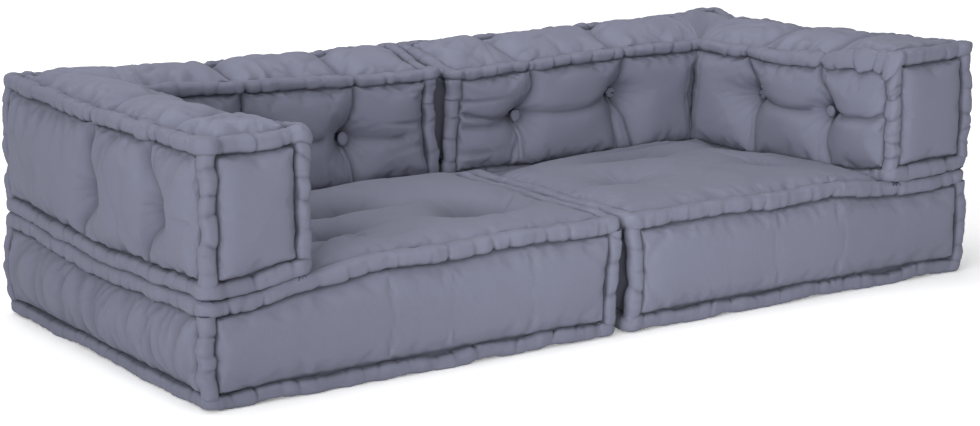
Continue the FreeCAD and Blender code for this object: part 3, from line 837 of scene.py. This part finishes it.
# Tufts of the back by place along it and level, and of the arm likewise.
back_tufts = {"left": [(334, 255), (520, 243)], "right": [(323, 263), (537, 248)]}
arm_tufts = {"left": [(141, 252), (343, 252)], "right": [(165, 255), (347, 263)]}
tuft_level = 258.0
# Tufts that are drawn in so deep that their buttons hardly show.
deep_tufts = {("right", 323), ("right", 347)}
# Notches that the creases pull into the inner top roll, from the outer end (back) or the front (arm).
notches = {
    "left": {"back": (330, 531), "arm": (161, 345)},
    "right": {"back": (320, 523), "arm": (171, 355)},
}
# Creases as they run in the photograph, from their tuft on, by panel and tuft.
drawn_folds = {
    "left": {
        ("backrest", 0): [
            ("up", [(332, 294), (330, 342)]),
            ("down", [(338, 223), (340, 187)]),
            ("across", [(396, 249), (467, 247)]),
        ],
        ("backrest", 1): [
            ("up", [(525, 269), (533, 303), (531, 343)]),
            ("down", [(528, 218), (530, 188)]),
            ("across", [(563, 242), (619, 240)]),
        ],
        ("outer", 0): [
            ("up", [(151, 273), (169, 304), (169, 326), (164, 344)]),
            ("down", [(154, 233), (169, 215), (178, 195), (174, 178)]),
        ],
        ("outer", 1): [
            ("up", [(351, 273), (355, 300), (344, 340)]),
            ("down", [(359, 227), (380, 201), (379, 179)]),
        ],
    },
    "right": {
        ("backrest", 0): [
            ("up", [(321, 288), (317, 314), (320, 343)]),
            ("down", [(338, 230), (334, 205), (330, 182)]),
            ("down", [(312, 230), (296, 185)]),
        ],
        ("backrest", 1): [
            ("up", [(527, 267), (516, 293), (514, 319), (522, 344)]),
            ("across", [(497, 251), (445, 248), (396, 251), (353, 260)]),
            ("across", [(589, 249), (655, 264)]),
            ("across", [(595, 241), (655, 242)]),
        ],
        ("arm_inner", 0): [
            ("up", [(159, 281), (173, 306), (177, 326), (172, 344)]),
            ("down", [(161, 233), (157, 213), (145, 187)]),
            ("across", [(94, 259), (19, 267)]),
        ],
        ("arm_inner", 1): [
            ("up", [(344, 293), (356, 322), (357, 344)]),
            ("down", [(342, 237), (338, 213), (334, 185)]),
            ("across", [(260, 258), (198, 255)]),
        ],
    },
}


def free_folds(tuft, low, high, rng):
    """Creases of a tuft that the photograph doesn't show: one up, one down, each a little bent."""
    place, level = tuft
    bend = rng.uniform(-9, 9, 2)
    return [
        ("up", [(place + bend[0], (level + high) / 2), (place + bend[0] * 0.6, high - 8)]),
        ("down", [(place + bend[1], (level + low) / 2), (place + bend[1] * 0.6, low + 10)]),
    ]


def tufted(panel, name, side, tufts, depth, rng):
    """Pulls a side of the bolster in at its tufts, with a valley and a sharp fold along each crease."""
    for number, tuft in enumerate(tufts):
        deeper = 14 if name in ("backrest", "arm_inner") and (side, tuft[0]) in deep_tufts else 0
        panel.tufts.append((tuft, depth + deeper, 19 + deeper / 7))
        free = free_folds(tuft, *bolster_levels, rng)
        for end, line in drawn_folds[side].get((name, number), free):
            share = {"up": 1.0, "down": 0.75, "across": 0.6}[end]
            deep = share * (1.8 if name in ("outer", "rear") else 1.0)
            width = 12 if end == "across" else 19
            panel.valleys.append(([tuft, *line], (8 * deep, 9 * deep, 8 * deep), width))
            panel.folds.append(([tuft, *line], (6.5 * share, 6.0 * share, 8.0 * share), 2.5))


def wrinkled_top(top, side, rng):
    """Creases over the bolster's top: from each notch outwards, one at the corner, and loose ones."""
    lines = []
    for head, (place, level) in zip(notches[side]["back"], back_tufts[side]):
        middle, foot = place + rng.uniform(-8, 8), place + rng.uniform(-14, 14)
        lines.append([(head, back_seam), (middle, 560), (foot, rear_seam)])
    for head, (place, level) in zip(notches[side]["arm"], arm_tufts[side]):
        middle, foot = place + rng.uniform(-8, 8), place + rng.uniform(-14, 14)
        lines.append([(arm_seam, head), (83, middle), (outer_seam, foot)])
    for line in lines:
        top.valleys.append((line, (20, 19, 17), 19))
        top.folds.append((line, (8, 5, 7), 2.8))
    top.valleys.append(([(arm_seam, back_seam), (83, 560), (outer_seam, rear_seam)], (10, 12, 7), 22))
    top.folds.append(([(arm_seam, back_seam), (90, 548), (60, 590)], (4, 3, 0), 3.0))
    for number in range(26):
        on_arm = number % 2
        middle = rng.uniform((34, 40), (132, 470)) if on_arm else rng.uniform((60, 512), (650, 608))
        turn = rng.uniform(-0.7, 0.7) + (np.pi / 2 if on_arm else 0.0)
        half = rng.uniform(16, 40) * np.array([np.cos(turn), np.sin(turn)])
        bend = rng.uniform(-7, 7) * np.array([-np.sin(turn), np.cos(turn)])
        line = [middle - half, middle + bend, middle + half]
        top.folds.append((line, (0.0, rng.uniform(2.0, 4.0), 0.0), 3.0))


def slack_at_ends(backrest, arm_inner, rng):
    """Slack cloth: gathers from the backrest's free end, and folds down both sides of the inner corner."""
    low, high = bolster_levels
    for start, end in ((645, 588), (655, 610), (640, 560)):
        for level in rng.uniform(low + 14, high - 16, 2):
            tip = (end + rng.uniform(-20, 20), level + rng.uniform(-14, 14))
            line = [(end_seam - 10, level), (start, level + rng.uniform(-4, 4)), tip]
            backrest.gathers.append((line, (3.0, 2.4, 0.0), 3.2))
    for gap in (9, 17, 28):
        bend = rng.uniform(2, 7, 3)
        for panel, corner, way, lean, middle in (
            (arm_inner, back_seam, -1, bend[0], 1.6),
            (backrest, arm_seam, 1, bend[1], 1.4),
        ):
            head, foot = (corner + way * gap, high - 8), (corner + way * gap * 0.6, low + 10)
            line = [head, (corner + way * (gap + lean), tuft_level), foot]
            panel.folds.append((line, (2.2, middle, 2.0), 2.2))


def bolster_panels(side, pinches, rng):
    """The bolster's seven padded sides with their tufts, creases and gathers; the bottom lies on the seat."""
    low, high = bolster_levels
    outer = Panel(0, outer_seam, -1, rectangle(front_seam, rear_seam, low, high), 9, 12, rumple=(1.2, 90))
    rear = Panel(1, rear_seam, 1, rectangle(outer_seam, end_seam, low, high), 9, 9, rumple=(1.2, 90))
    end = rectangle(outer_seam, arm_seam, low, high)
    arm_front = Panel(1, front_seam, -1, end, 9, 5, rumple=(0.3, 90), cap=3.5)
    arm_inner = Panel(0, arm_seam, 1, rectangle(front_seam, back_seam, low, high), 9, 9, bare=1)
    backrest = Panel(1, back_seam, -1, rectangle(arm_seam, end_seam, low, high), 9, 9, bare=3)
    back_end = Panel(0, end_seam, 1, rectangle(back_seam, rear_seam, low, high), -8, 3, sill=-10.0, cap=3.0)
    # Painted shade: the end panel faces the narrow gap between the modules and is painted darker.
    back_end.painted_shade_offset = 0.3
    top = Panel(2, high, 1, bolster_corners, 9, 15, 22, rumple=(2.4, 76))
    # Painted light: the bolster's top is painted about 12 percent paler.
    top.painted_shade_offset = -0.2
    tufted(backrest, "backrest", side, back_tufts[side], 30, rng)
    tufted(rear, "rear", side, back_tufts[side], 22, rng)
    tufted(arm_inner, "arm_inner", side, arm_tufts[side], 30, rng)
    tufted(outer, "outer", side, arm_tufts[side], 24, rng)
    wrinkled_top(top, side, rng)
    slack_at_ends(backrest, arm_inner, rng)
    # Start and way of each side's seam, then size and reach of its gathers.
    seams = {
        0: (arm_front, outer_seam, 1, 0.9, 22),
        1: (arm_inner, front_seam, 1, 1.4, 34),
        2: (backrest, arm_seam, 1, 1.4, 34),
        3: (back_end, back_seam, 1, 0.8, 22),
        4: (rear, end_seam, -1, 4.0, 74),
        5: (outer, rear_seam, -1, 4.4, 80),
    }
    for (level, number), places in pinches.items():
        panel, start, way, size, reach = seams[number]
        up = 1 if level == low else -1
        drawn_to = ()
        if number > 3 and level == high:
            tufts = back_tufts if number == 4 else arm_tufts
            drawn_to = [abs(start - tuft[0]) for tuft in tufts[side]]
            places = pleat_places(seam_depth, rng, (15, 28))
        elif number > 3:
            places = pleat_places(seam_depth, rng, (20, 44))
            size, reach = size * 0.7, reach * 0.6
        gathers_at(panel, (start, level), (way, 0), (0, up), places, rng, size, reach, 5.8, drawn_to)
    for number, (p, q) in enumerate(zip(bolster_corners, bolster_corners[1:] + bolster_corners[:1])):
        way = np.sign(np.subtract(q, p))
        inward = (-way[1], way[0])
        gathers_at(top, p, way, inward, pinches[high, number], rng, 5.5, 60, 8.0)
        length = abs(q[0] - p[0]) + abs(q[1] - p[1])
        gathers_at(top, p, way, inward, pleat_places(length, rng, (10, 26)), rng, 2.6, 26, 3.6)
    return [outer, rear, arm_front, arm_inner, backrest, back_end, top]


def bolster_held(rest):
    """The bolster's bottom is held on the seat."""
    return rest[:, 2] < bolster_levels[0] + 1e-6


for side in modules:
    rng = np.random.default_rng({"left": 41, "right": 57}[side])
    pinches[side, "bolster"] = seam_pinches(bolster_corners, bolster_levels, rng)
    panels = bolster_panels(side, pinches[side, "bolster"], rng)
    u_lines = seam_lines((outer_seam, 1), (arm_seam, -1), (arm_seam, 1), (end_seam, -1))
    u_lines += [(place, 3.2, 15) for place, level in back_tufts[side]]
    v_lines = seam_lines((front_seam, 1), (back_seam, -1), (back_seam, 1), (rear_seam, -1))
    v_lines += [(place, 3.2, 15) for place, level in arm_tufts[side]]
    z_lines = seam_lines((bolster_levels[0], 1), (bolster_levels[1], -1)) + [(tuft_level, 4.0, 16)]
    lattice = (
        spaced((outer_seam, arm_seam, end_seam), 8.0, u_lines),
        spaced((front_seam, back_seam, rear_seam), 8.0, v_lines),
        spaced(bolster_levels, 7.5, z_lines),
    )
    middle_u, middle_v = ((lines[1:] + lines[:-1]) / 2 for lines in lattice[:2])
    inside = (middle_u[:, None] < arm_seam) | (middle_v[None, :] > back_seam)
    blocks[side, "bolster"] = sewn_block(f"{side}_bolster_sewn", 0.03, lattice, inside, panels, bolster_held)

blow_up(blocks.values())
for block in blocks.values():
    bpy.data.objects.remove(block["cover"])

cover_nodes = {
    "seat": ["seat_top_panel", "seat_bottom_panel", "seat_front_panel", "seat_rear_panel"]
    + ["seat_outer_panel", "seat_inner_panel"],
    "bolster": ["bolster_top_panel", "bolster_bottom_panel", "back_rear_panel", "backrest_panel"]
    + ["arm_outer_panel", "arm_inner_panel", "arm_front_panel", "back_end_panel"],
}

# Fillings. Loose raw cotton, undyed, packed into the covers; no open seam shows it.
filling_cotton = cotton("raw_cotton_filling", "d9d2c3", 0.0030, 0.0010)
filling_nodes = {"seat": ["seat_filling"], "bolster": ["back_filling", "arm_filling"]}
# Places on the lattice along u, v and z, and where the filling's own lie, drawn in from the seams.
insets = {
    "seat": [
        ((12, 40, 650, 678), (22, 40, 650, 668)),
        ((12, 40, 600, 628), (22, 40, 600, 618)),
        ((12, 148), (16, 138)),
    ],
    "bolster": [
        ((12, 44, 122, 154, 190, 646, 678), (24, 44, 122, 142, 190, 646, 666)),
        ((12, 44, 460, 492, 524, 596, 628), (24, 44, 460, 504, 524, 596, 616)),
        ((172.4, 200, 320, 348), (178, 200, 320, 334)),
    ],
}


def filling(name, side, block, insets, nodes):
    """Cotton filling: the cover drawn in from all seams, with 0.55 of its swells and 1.35 of its hollows."""
    lattice = block["lattice"]
    where, quads, axes = skin(lattice, block["inside"])
    rest = at_nodes(lattice, where)
    points = at_nodes([np.interp(lines, *inset) for lines, inset in zip(lattice, insets)], where)
    shift = block["shift"][tuple(where.T)]
    points = points + np.where(shift * np.sign(rest - points) > 0, 0.55, 1.35) * shift
    flat = points[quads]
    cloth = flat[:, :, [0, 1]] + flat[:, :, [2, 2]]
    made = piece(name, points, quads, side, filling_cotton, nodes, cloth)


for (side, kind), block in blocks.items():
    finished_cover(f"{side}_{kind}_cover", side, block, cover_nodes[kind])
    filling(f"{side}_{kind}_filling", side, block, insets[kind], filling_nodes[kind])

# Edge rolls. Every seam is a finger-thick roll of the cover cloth, stuffed with cotton and stitched by hand
# every few centimetres, so that it runs in short uneven sausages. Its cotton is a touch paler than the panels'.
roll_cotton = cotton("slate_blue_cotton_edge_roll", "6c6e7e", 0.0014, 0.0005)


def rounded_loop(corners, level, bend=6.0):
    """Closed path through the corners, with an arc at each, and the numbers of the arcs' middle points."""
    points, marks = [], []
    corners = np.asarray(corners, float)
    for before, corner, after in zip(np.roll(corners, 1, axis=0), corners, np.roll(corners, -1, axis=0)):
        come = (corner - before) / np.linalg.norm(corner - before)
        go = (after - corner) / np.linalg.norm(after - corner)
        turn = np.linspace(0, np.pi / 2, 7)
        centre = corner - come * bend + go * bend
        points.extend(centre - go * bend * np.cos(t) + come * bend * np.sin(t) for t in turn)
        marks.append(len(points) - 4)
    points = np.asarray(points)
    return np.column_stack([points, np.full(len(points), level)]), marks


def along(path, closed):
    """Running length of a path, closed or open."""
    steps = np.linalg.norm(np.diff(np.vstack([path, path[:1]]) if closed else path, axis=0), axis=1)
    return np.concatenate([[0], np.cumsum(steps)])


def wander(s, length, rng, size, waves, closed):
    """Slow sideways drift of a hand-made roll: a sum of sines with whole waves on a closed loop."""
    drift = np.zeros_like(s)
    for number in waves:
        count = number if closed else number + rng.uniform(-0.3, 0.3)
        drift += size / np.sqrt(len(waves)) * np.sin(2 * np.pi * count * s / length + rng.uniform(0, 6.28))
    return drift


def ring_quads(rings, segments, closed=False):
    """Quads between each ring of points and the next, and between the last and the first where closed."""
    i = np.arange(rings if closed else rings - 1)[:, None]
    j = np.arange(segments)[None, :]
    k, m = (i + 1) % rings, (j + 1) % segments
    quads = [i * segments + j, k * segments + j, k * segments + m, i * segments + m]
    return np.stack(quads, axis=-1).reshape(-1, 4)


def end_fans(rings, segments):
    """Fans of quads that close the first and the last ring, to two tips numbered after all the rings."""
    j = np.arange(0, segments, 2)
    tip, base = rings * segments, (rings - 1) * segments
    first = np.stack([np.full(j.size, tip), (j + 2) % segments, j + 1, j], axis=1)
    last = np.stack([np.full(j.size, tip + 1), base + j, base + j + 1, base + (j + 2) % segments], axis=1)
    return np.vstack([first, last])


def stuffed_roll(
    path, closed, stitches, rng, outward, facing, radius=roll_radius, ears=(), drift=1.1, seam=0
):
    """Tube along a path, drawn in by stitches: r(s, t) = r0 q(t) (1 + lumps(s) - bites - wrinkles).

    A bite is depth exp(-|g| / width), deepest on the side of the seam, with a step tanh(g) exp(-|g| / 12)
    that lets one sausage lap over the next; g = s - place - slant cos t. The squarish section that a roll
    gets between two panels is q(t) = (|cos t|^p + |sin t|^p)^(-1/p) with p = 2.5.
    """
    segments = 24
    running = along(path, closed)
    length = running[-1]
    if closed:
        path = np.vstack([path, path[:1]])

    def at(s):
        s = s % length if closed else np.clip(s, 0, length)
        return np.stack([np.interp(s, running, path[:, k]) for k in range(3)], axis=1)

    s = spaced((0, length), 3.6, [(stitch[0], 1.2, 3.5) for stitch in stitches])
    if closed:
        s = s[:-1]
    centre = at(s)
    tangent = at(s + 3) - at(s - 3)
    tangent /= np.linalg.norm(tangent, axis=1, keepdims=True)
    if closed:
        up = np.tile([0.0, 0.0, 1.0], (len(s), 1))
        side = np.cross(tangent, up)
    else:
        side = np.tile(np.asarray(outward, float), (len(s), 1))
        up = np.cross(side, tangent)
    for ear, push in ears:
        gap = np.abs(s - ear)
        gap = np.minimum(gap, length - gap)
        centre = centre + (side + 0.35 * up) * (push * hump(gap, 0, 10))[:, None]
    waves = range(3, 3 + max(2, int(length / 120)), 2)
    centre = centre + side * wander(s, length, rng, 1.4, waves, closed)[:, None]
    centre = centre + up * wander(s, length, rng, drift, waves, closed)[:, None]
    S, T = np.meshgrid(s, np.linspace(0, 2 * np.pi, segments, endpoint=False), indexing="ij")
    r = 1 + 0.02 * np.sin(3 * T + S / 23) + 0.015 * np.sin(5 * T - S / 11)
    for size, far, near in ((0.07, 160, 48), (0.03, 44, 17)):
        waves = range(int(length / far), int(length / near) + 2, 3)
        r += wander(s, length, rng, size, waves, closed)[:, None]
    places = np.cumsum(rng.uniform(4, 11, int(length / 5)))
    wrinkles = [(place, rng.uniform(0.03, 0.12), rng.uniform(-5, 5)) for place in places[places < length - 8]]
    bite = 0.3 + 0.7 * np.sin(T) ** 2
    if seam:
        bite = 0.12 + 0.88 * ((1 + seam * np.sin(T)) / 2) ** 1.4
    # Painted shade: the side of the roll that turns in to the panels, away from facing, is painted darker, and
    # so are the stitch bites, the wrinkles and the closed ends.
    crease = 0.65 * ease(np.abs((T - facing + np.pi) % (2 * np.pi) - np.pi), 1.45, 1.85)

    def gap_to(place, slant):
        gap = S - place - slant * np.cos(T + 0.6 * slant)
        return (gap + length / 2) % length - length / 2 if closed else gap

    for place, depth, width, slant, step in stitches:
        gap = gap_to(place, slant)
        near = np.exp(-np.abs(gap) / width)
        r -= depth * (bite * near + 0.18 * (0.3 + 0.7 * bite) * hump(gap, 0, 9))
        r += step * np.tanh(gap / 1.2) * np.exp(-np.abs(gap) / 12)
        crease += 1.4 * depth * bite * hump(gap, 0, width + 0.8)
    for place, depth, slant in wrinkles:
        near = np.exp(-np.abs(gap_to(place, slant)) / 1.5)
        wrinkle = depth * (0.5 + 0.5 * np.cos(T - 1.9 * slant)) ** 2 * near
        r -= wrinkle
        crease += 1.6 * wrinkle
    section = (np.abs(np.cos(T)) ** 2.5 + np.abs(np.sin(T)) ** 2.5) ** (-1 / 2.5)
    r *= radius * section / 1.03
    out, over = (r * np.cos(T))[..., None], (r * np.sin(T))[..., None]
    points = (centre[:, None] + side[:, None] * out + up[:, None] * over).reshape(-1, 3)
    quads = ring_quads(len(s), segments, closed)
    cell = 2 * np.pi * radius / segments
    edge = np.stack([S, radius * T], axis=-1)[: len(s) if closed else len(s) - 1, :, None, :]
    cloth = (edge + np.array([(0.0, 0.0), (5.0, 0.0), (5.0, cell), (0.0, cell)])).reshape(-1, 4, 2)
    crease = np.clip(crease, 0, 1).ravel()
    if not closed:
        fans = end_fans(len(s), segments)
        points = np.vstack([points, centre[0] - tangent[0] * 4, centre[-1] + tangent[-1] * 4])
        quads = np.vstack([quads, fans])
        cloth = np.concatenate([cloth, np.full((len(fans), 4, 2), radius)])
        crease = np.concatenate([crease, [0.9, 0.9]])
    return points, quads, cloth, crease


def merged(parts):
    """Several meshes as one: points, quads with shifted numbers, then cloth maps and painted crease shade, if
    any.
    """
    starts = np.cumsum([0] + [len(part[0]) for part in parts])
    quads = np.vstack([part[1] + start for part, start in zip(parts, starts)])
    more = [np.concatenate(kind) for kind in list(zip(*parts))[2:]]
    return np.vstack([part[0] for part in parts]), quads, *more


def loop_stitches(corner_at, length, places, cuts, rng, lap):
    """Stitches of a whole loop, each with its place, depth, width, slant and step.

    They lie where the panels are stitched, with deep notches at the tufts and one on both sides of a corner.
    """
    found = []
    for number, start in enumerate(corner_at):
        for place in places[number]:
            deep = rng.uniform(0.3, 0.52) if rng.random() < 4 * lap else rng.uniform(0.1, 0.26)
            width, slant, step = rng.uniform(1.4, 2.6), rng.uniform(-7, 7), rng.uniform(-lap, lap)
            found.append((start + place, deep, width, slant, step))
        for place in cuts.get(number, ()):
            found.append((start + place, 0.9, 3.0, rng.uniform(-3, 3), 0.05))
        for gap in (-17, 16):
            deep = rng.uniform(0.16, 0.32) * (1.0 if lap > 0.1 else 0.4)
            found.append(((start + gap) % length, deep, 1.8, rng.uniform(-3, 3), rng.uniform(-lap, lap)))
    return found


def loop_roll(side, kind, which, corners, level, rng):
    """Roll round the top or the bottom of a block; the bolster's top one is notched and laps the most."""
    path, marks = rounded_loop(corners, level)
    running = along(path, True)
    corner_at = running[marks]
    crest = (kind, which) == ("bolster", "top")
    at_joint = (kind, which) in (("seat", "top"), ("bolster", "bottom"))
    cuts = {}
    if crest:
        cuts[1] = [place - front_seam for place in notches[side]["arm"]]
        cuts[2] = [place - arm_seam for place in notches[side]["back"]]
        cuts[4] = [end_seam - place for place, height in back_tufts[side]]
        cuts[5] = [rear_seam - place for place, height in arm_tufts[side]]
    places = [pinches[side, kind][level, number] for number in range(len(corners))]
    found = loop_stitches(corner_at, running[-1], places, cuts, rng, 0.12 if crest else 0.035)
    push = [8, 9, 0, 8, 4, 3] if crest else [3, 3, 3, 3, 3, 3]
    ears = [(corner_at[n], push[n]) for n in range(len(corners)) if (kind, n) != ("bolster", 2)]
    drift = 0.3 if at_joint else {"bottom": 2.0, "top": 1.5}[which]
    up = {"bottom": -1, "top": 1}[which]
    thick = 12.8 if at_joint else roll_radius
    seam = -up * (0.55 if crest else 1.0)
    return stuffed_roll(path, True, found, rng, None, up * np.pi / 4, thick, ears, drift, seam)


def corner_roll(u, v, low, high, rng):
    """Upright roll of one corner, its seam turned in towards the block."""
    path = np.column_stack([np.full(40, u), np.full(40, v), np.linspace(low, high, 40)])
    steps = np.cumsum(rng.uniform(16, 44, 12))
    found = [
        (place, rng.uniform(0.1, 0.3), rng.uniform(1.4, 2.4), rng.uniform(-5, 5), rng.uniform(-0.1, 0.1))
        for place in steps[steps < high - low - 8]
    ]
    outward = (-1.0 if u < 100 else 1.0, 0.0, 0.0)
    facing = np.pi / 4 * (-1 if (u < 100) == (v < 600) else 1)
    return stuffed_roll(path, False, found, rng, outward, facing)


block_frames = {"seat": (seat_corners, seat_levels), "bolster": (bolster_corners, bolster_levels)}
for side in modules:
    rng = np.random.default_rng({"left": 71, "right": 83}[side])
    for kind, (corners, levels) in block_frames.items():
        rolls = {}
        for level, which in zip(levels, ("bottom", "top")):
            rolls[f"{kind}_{which}_roll"] = loop_roll(side, kind, which, corners, level, rng)
        free = [corner for n, corner in enumerate(corners) if (kind, n) != ("bolster", 2)]
        low, high = levels[0] + 7, levels[1] - 7
        rolls[f"{kind}_corner_rolls"] = merged([corner_roll(u, v, low, high, rng) for u, v in free])
        for node, (points, quads, cloth, crease) in rolls.items():
            name = f"{side}_{node}"
            made = piece(name, points, quads, side, roll_cotton, [node], cloth, crease)

# Buttons. Small domed buttons covered with the same cotton, pulled tight and gathered behind; they sit in
# the tufts.
button_cotton = cotton("slate_blue_cotton_button", "6a6c7c", 0.0012, 0.0004)


def covered_button(centre, axis, sign, radius=9.5, height=4.5, segments=28):
    """Dome over a flat back: a round profile turned about the axis, gathered by 2 percent at the rim."""
    profile_r = np.array([0.2, 0.42, 0.62, 0.79, 0.91, 0.98, 1.0, 0.95, 0.8])
    profile_h = np.array([0.99, 0.96, 0.88, 0.74, 0.52, 0.24, 0.0, -0.32, -0.5])
    t = np.linspace(0, 2 * np.pi, segments, endpoint=False)
    R, T = np.meshgrid(profile_r * radius, t, indexing="ij")
    R = R * (1 + 0.02 * np.cos(9 * T) * (R / radius) ** 3)
    across = [k for k in range(3) if k != axis]
    rings = np.zeros((*R.shape, 3))
    rings[..., across[0]] = R * np.cos(T)
    rings[..., across[1]] = R * np.sin(T)
    rings[..., axis] = sign * height * profile_h[:, None]
    tips = np.zeros((2, 3))
    tips[:, axis] = sign * height * np.array([1.0, -0.5])
    points = np.vstack([rings.reshape(-1, 3), tips])
    count = len(profile_r)
    quads = np.vstack([ring_quads(count, segments), end_fans(count, segments)[:, ::-1]])
    if (sign > 0) != (axis != 1):
        quads = quads[:, ::-1]
    return points + np.asarray(centre, float), quads, points[quads][:, :, across]


for side in modules:
    groups = {"seat": [], "bolster": []}
    for u, v in seat_tufts[side]:
        level = seat_levels[1] + 1 + float(crown(u, v, side))
        groups["seat"].append(covered_button((u, v, level), 2, 1))
    for u, level in back_tufts[side]:
        sunk = 25 if (side, u) in deep_tufts else 11
        groups["bolster"].append(covered_button((u, back_seam + sunk, level), 1, -1))
    for v, level in arm_tufts[side]:
        sunk = 25 if (side, v) in deep_tufts else 11
        groups["bolster"].append(covered_button((arm_seam - sunk, v, level), 0, 1))
    for kind, group in groups.items():
        points, quads, cloth = merged(group)
        node = f"{kind}_buttons"
        piece(f"{side}_{node}", points, quads, side, button_cotton, [node], cloth)

# Twines. Stout cotton twine runs through the filling and joins each button to a knot on the other face.
twine_cotton = cotton("slate_blue_tufting_twine", "4a4c60", 0.0012, 0.0005)


def strand(path, radius, segments=8):
    """Thin round thread along an open path, p + radius (side cos t + up sin t), closed at both ends."""
    path = np.asarray(path, float)
    tangent = np.gradient(path, axis=0)
    tangent /= np.linalg.norm(tangent, axis=1, keepdims=True)
    spare = np.where(np.abs(tangent[:, 2:3]) > 0.9, [[1.0, 0.0, 0.0]], [[0.0, 0.0, 1.0]])
    side = np.cross(tangent, spare)
    side /= np.linalg.norm(side, axis=1, keepdims=True)
    up = np.cross(side, tangent)
    t = np.linspace(0, 2 * np.pi, segments, endpoint=False)[None, :, None]
    rings = path[:, None] + radius * (side[:, None] * np.cos(t) + up[:, None] * np.sin(t))
    points = np.vstack([rings.reshape(-1, 3), path[0], path[-1]])
    quads = np.vstack([ring_quads(len(path), segments), end_fans(len(path), segments)])
    return points, quads, points[quads][:, :, [0, 2]]


def straight(start, end, count=24):
    """Evenly spaced points from start to end."""
    return np.linspace(np.asarray(start, float), np.asarray(end, float), count)


def knot(centre, axis, size=3.2):
    """Hitch on the face: two turns of radius size (1 + 0.3 cos 1.5 t), 1.2 sin 1.5 t along the axis."""
    t = np.linspace(0, 4 * np.pi, 40)
    across = [k for k in range(3) if k != axis]
    path = np.tile(np.asarray(centre, float), (len(t), 1))
    path[:, across[0]] += size * np.cos(t) * (1 + 0.3 * np.cos(1.5 * t))
    path[:, across[1]] += size * np.sin(t) * (1 + 0.3 * np.cos(1.5 * t))
    path[:, axis] += 1.2 * np.sin(1.5 * t)
    return path


for side in modules:
    groups = {"seat": [], "bolster": []}
    for u, v in seat_tufts[side]:
        top = seat_levels[1] + float(crown(u, v, side))
        groups["seat"] += [strand(straight((u, v, 9), (u, v, top)), 1.5), strand(knot((u, v, 9.5), 2), 1.3)]
    for u, level in back_tufts[side]:
        thread = straight((u, back_seam + 15, level), (u, rear_seam - 6, level))
        groups["bolster"] += [strand(thread, 1.5), strand(knot((u, rear_seam - 5, level), 1, 2.4), 1.0)]
    for v, level in arm_tufts[side]:
        thread = straight((arm_seam - 15, v, level), (outer_seam + 6, v, level))
        groups["bolster"] += [strand(thread, 1.5), strand(knot((outer_seam + 5, v, level), 0, 2.4), 1.0)]
    for kind, group in groups.items():
        points, quads, cloth = merged(group)
        node = f"{kind}_twines"
        piece(f"{side}_{node}", points, quads, side, twine_cotton, [node], cloth)

# Lashings. At its corners the bolster is tied to the seat with crossed stitches of dark waxed thread.
thread_cotton = cotton("slate_blue_waxed_thread", "3d3f52", 0.0008, 0.0003)
joint_level = (seat_levels[1] + bolster_levels[0]) / 2
# Corner of the seam, the way along it, the way out of the face, and the places of the crosses.
lashings = [
    ((outer_seam, front_seam), (1, 0), (0, -1), (1,)),
    ((arm_seam, front_seam), (-1, 0), (0, -1), (2, 9)),
    ((outer_seam, front_seam), (0, 1), (-1, 0), (3,)),
    ((outer_seam, rear_seam), (0, -1), (-1, 0), (4,)),
    ((outer_seam, rear_seam), (1, 0), (0, 1), (4,)),
    ((end_seam, rear_seam), (-1, 0), (0, 1), (4,)),
    ((end_seam, rear_seam), (0, -1), (1, 0), (4,)),
]


def cross_stitch(corner, way, out, place, rng, width=4.0, height=7.0):
    """Two crossed threads over both rolls, their ends sunk in.

    They stand out by sqrt(12.9^2 - (|z - joint| - 12.2)^2), never under 6.
    """
    corner, way, out = (np.asarray(value, float) for value in (corner, way, out))
    t = np.linspace(-1, 1, 17)
    reach = np.sqrt(np.maximum(12.9**2 - (np.abs(height * t) - 12.2) ** 2, 36.0))
    reach = reach - 5 * ease(np.abs(t), 0.8, 1.0)
    threads = []
    for lean in (-1, 1):
        run = place + lean * width * t + rng.uniform(-1, 1)
        flat = corner + way * run[:, None] + out * reach[:, None]
        threads.append(strand(np.column_stack([flat, joint_level + height * t]), 0.9, 6))
    return threads


for side in modules:
    rng = np.random.default_rng({"left": 5, "right": 6}[side])
    threads = []
    for corner, way, out, places in lashings:
        for place in places:
            threads.extend(cross_stitch(corner, way, out, place, rng))
    points, quads, cloth = merged(threads)
    piece(f"{side}_corner_lashings", points, quads, side, thread_cotton, ["corner_lashings"], cloth)
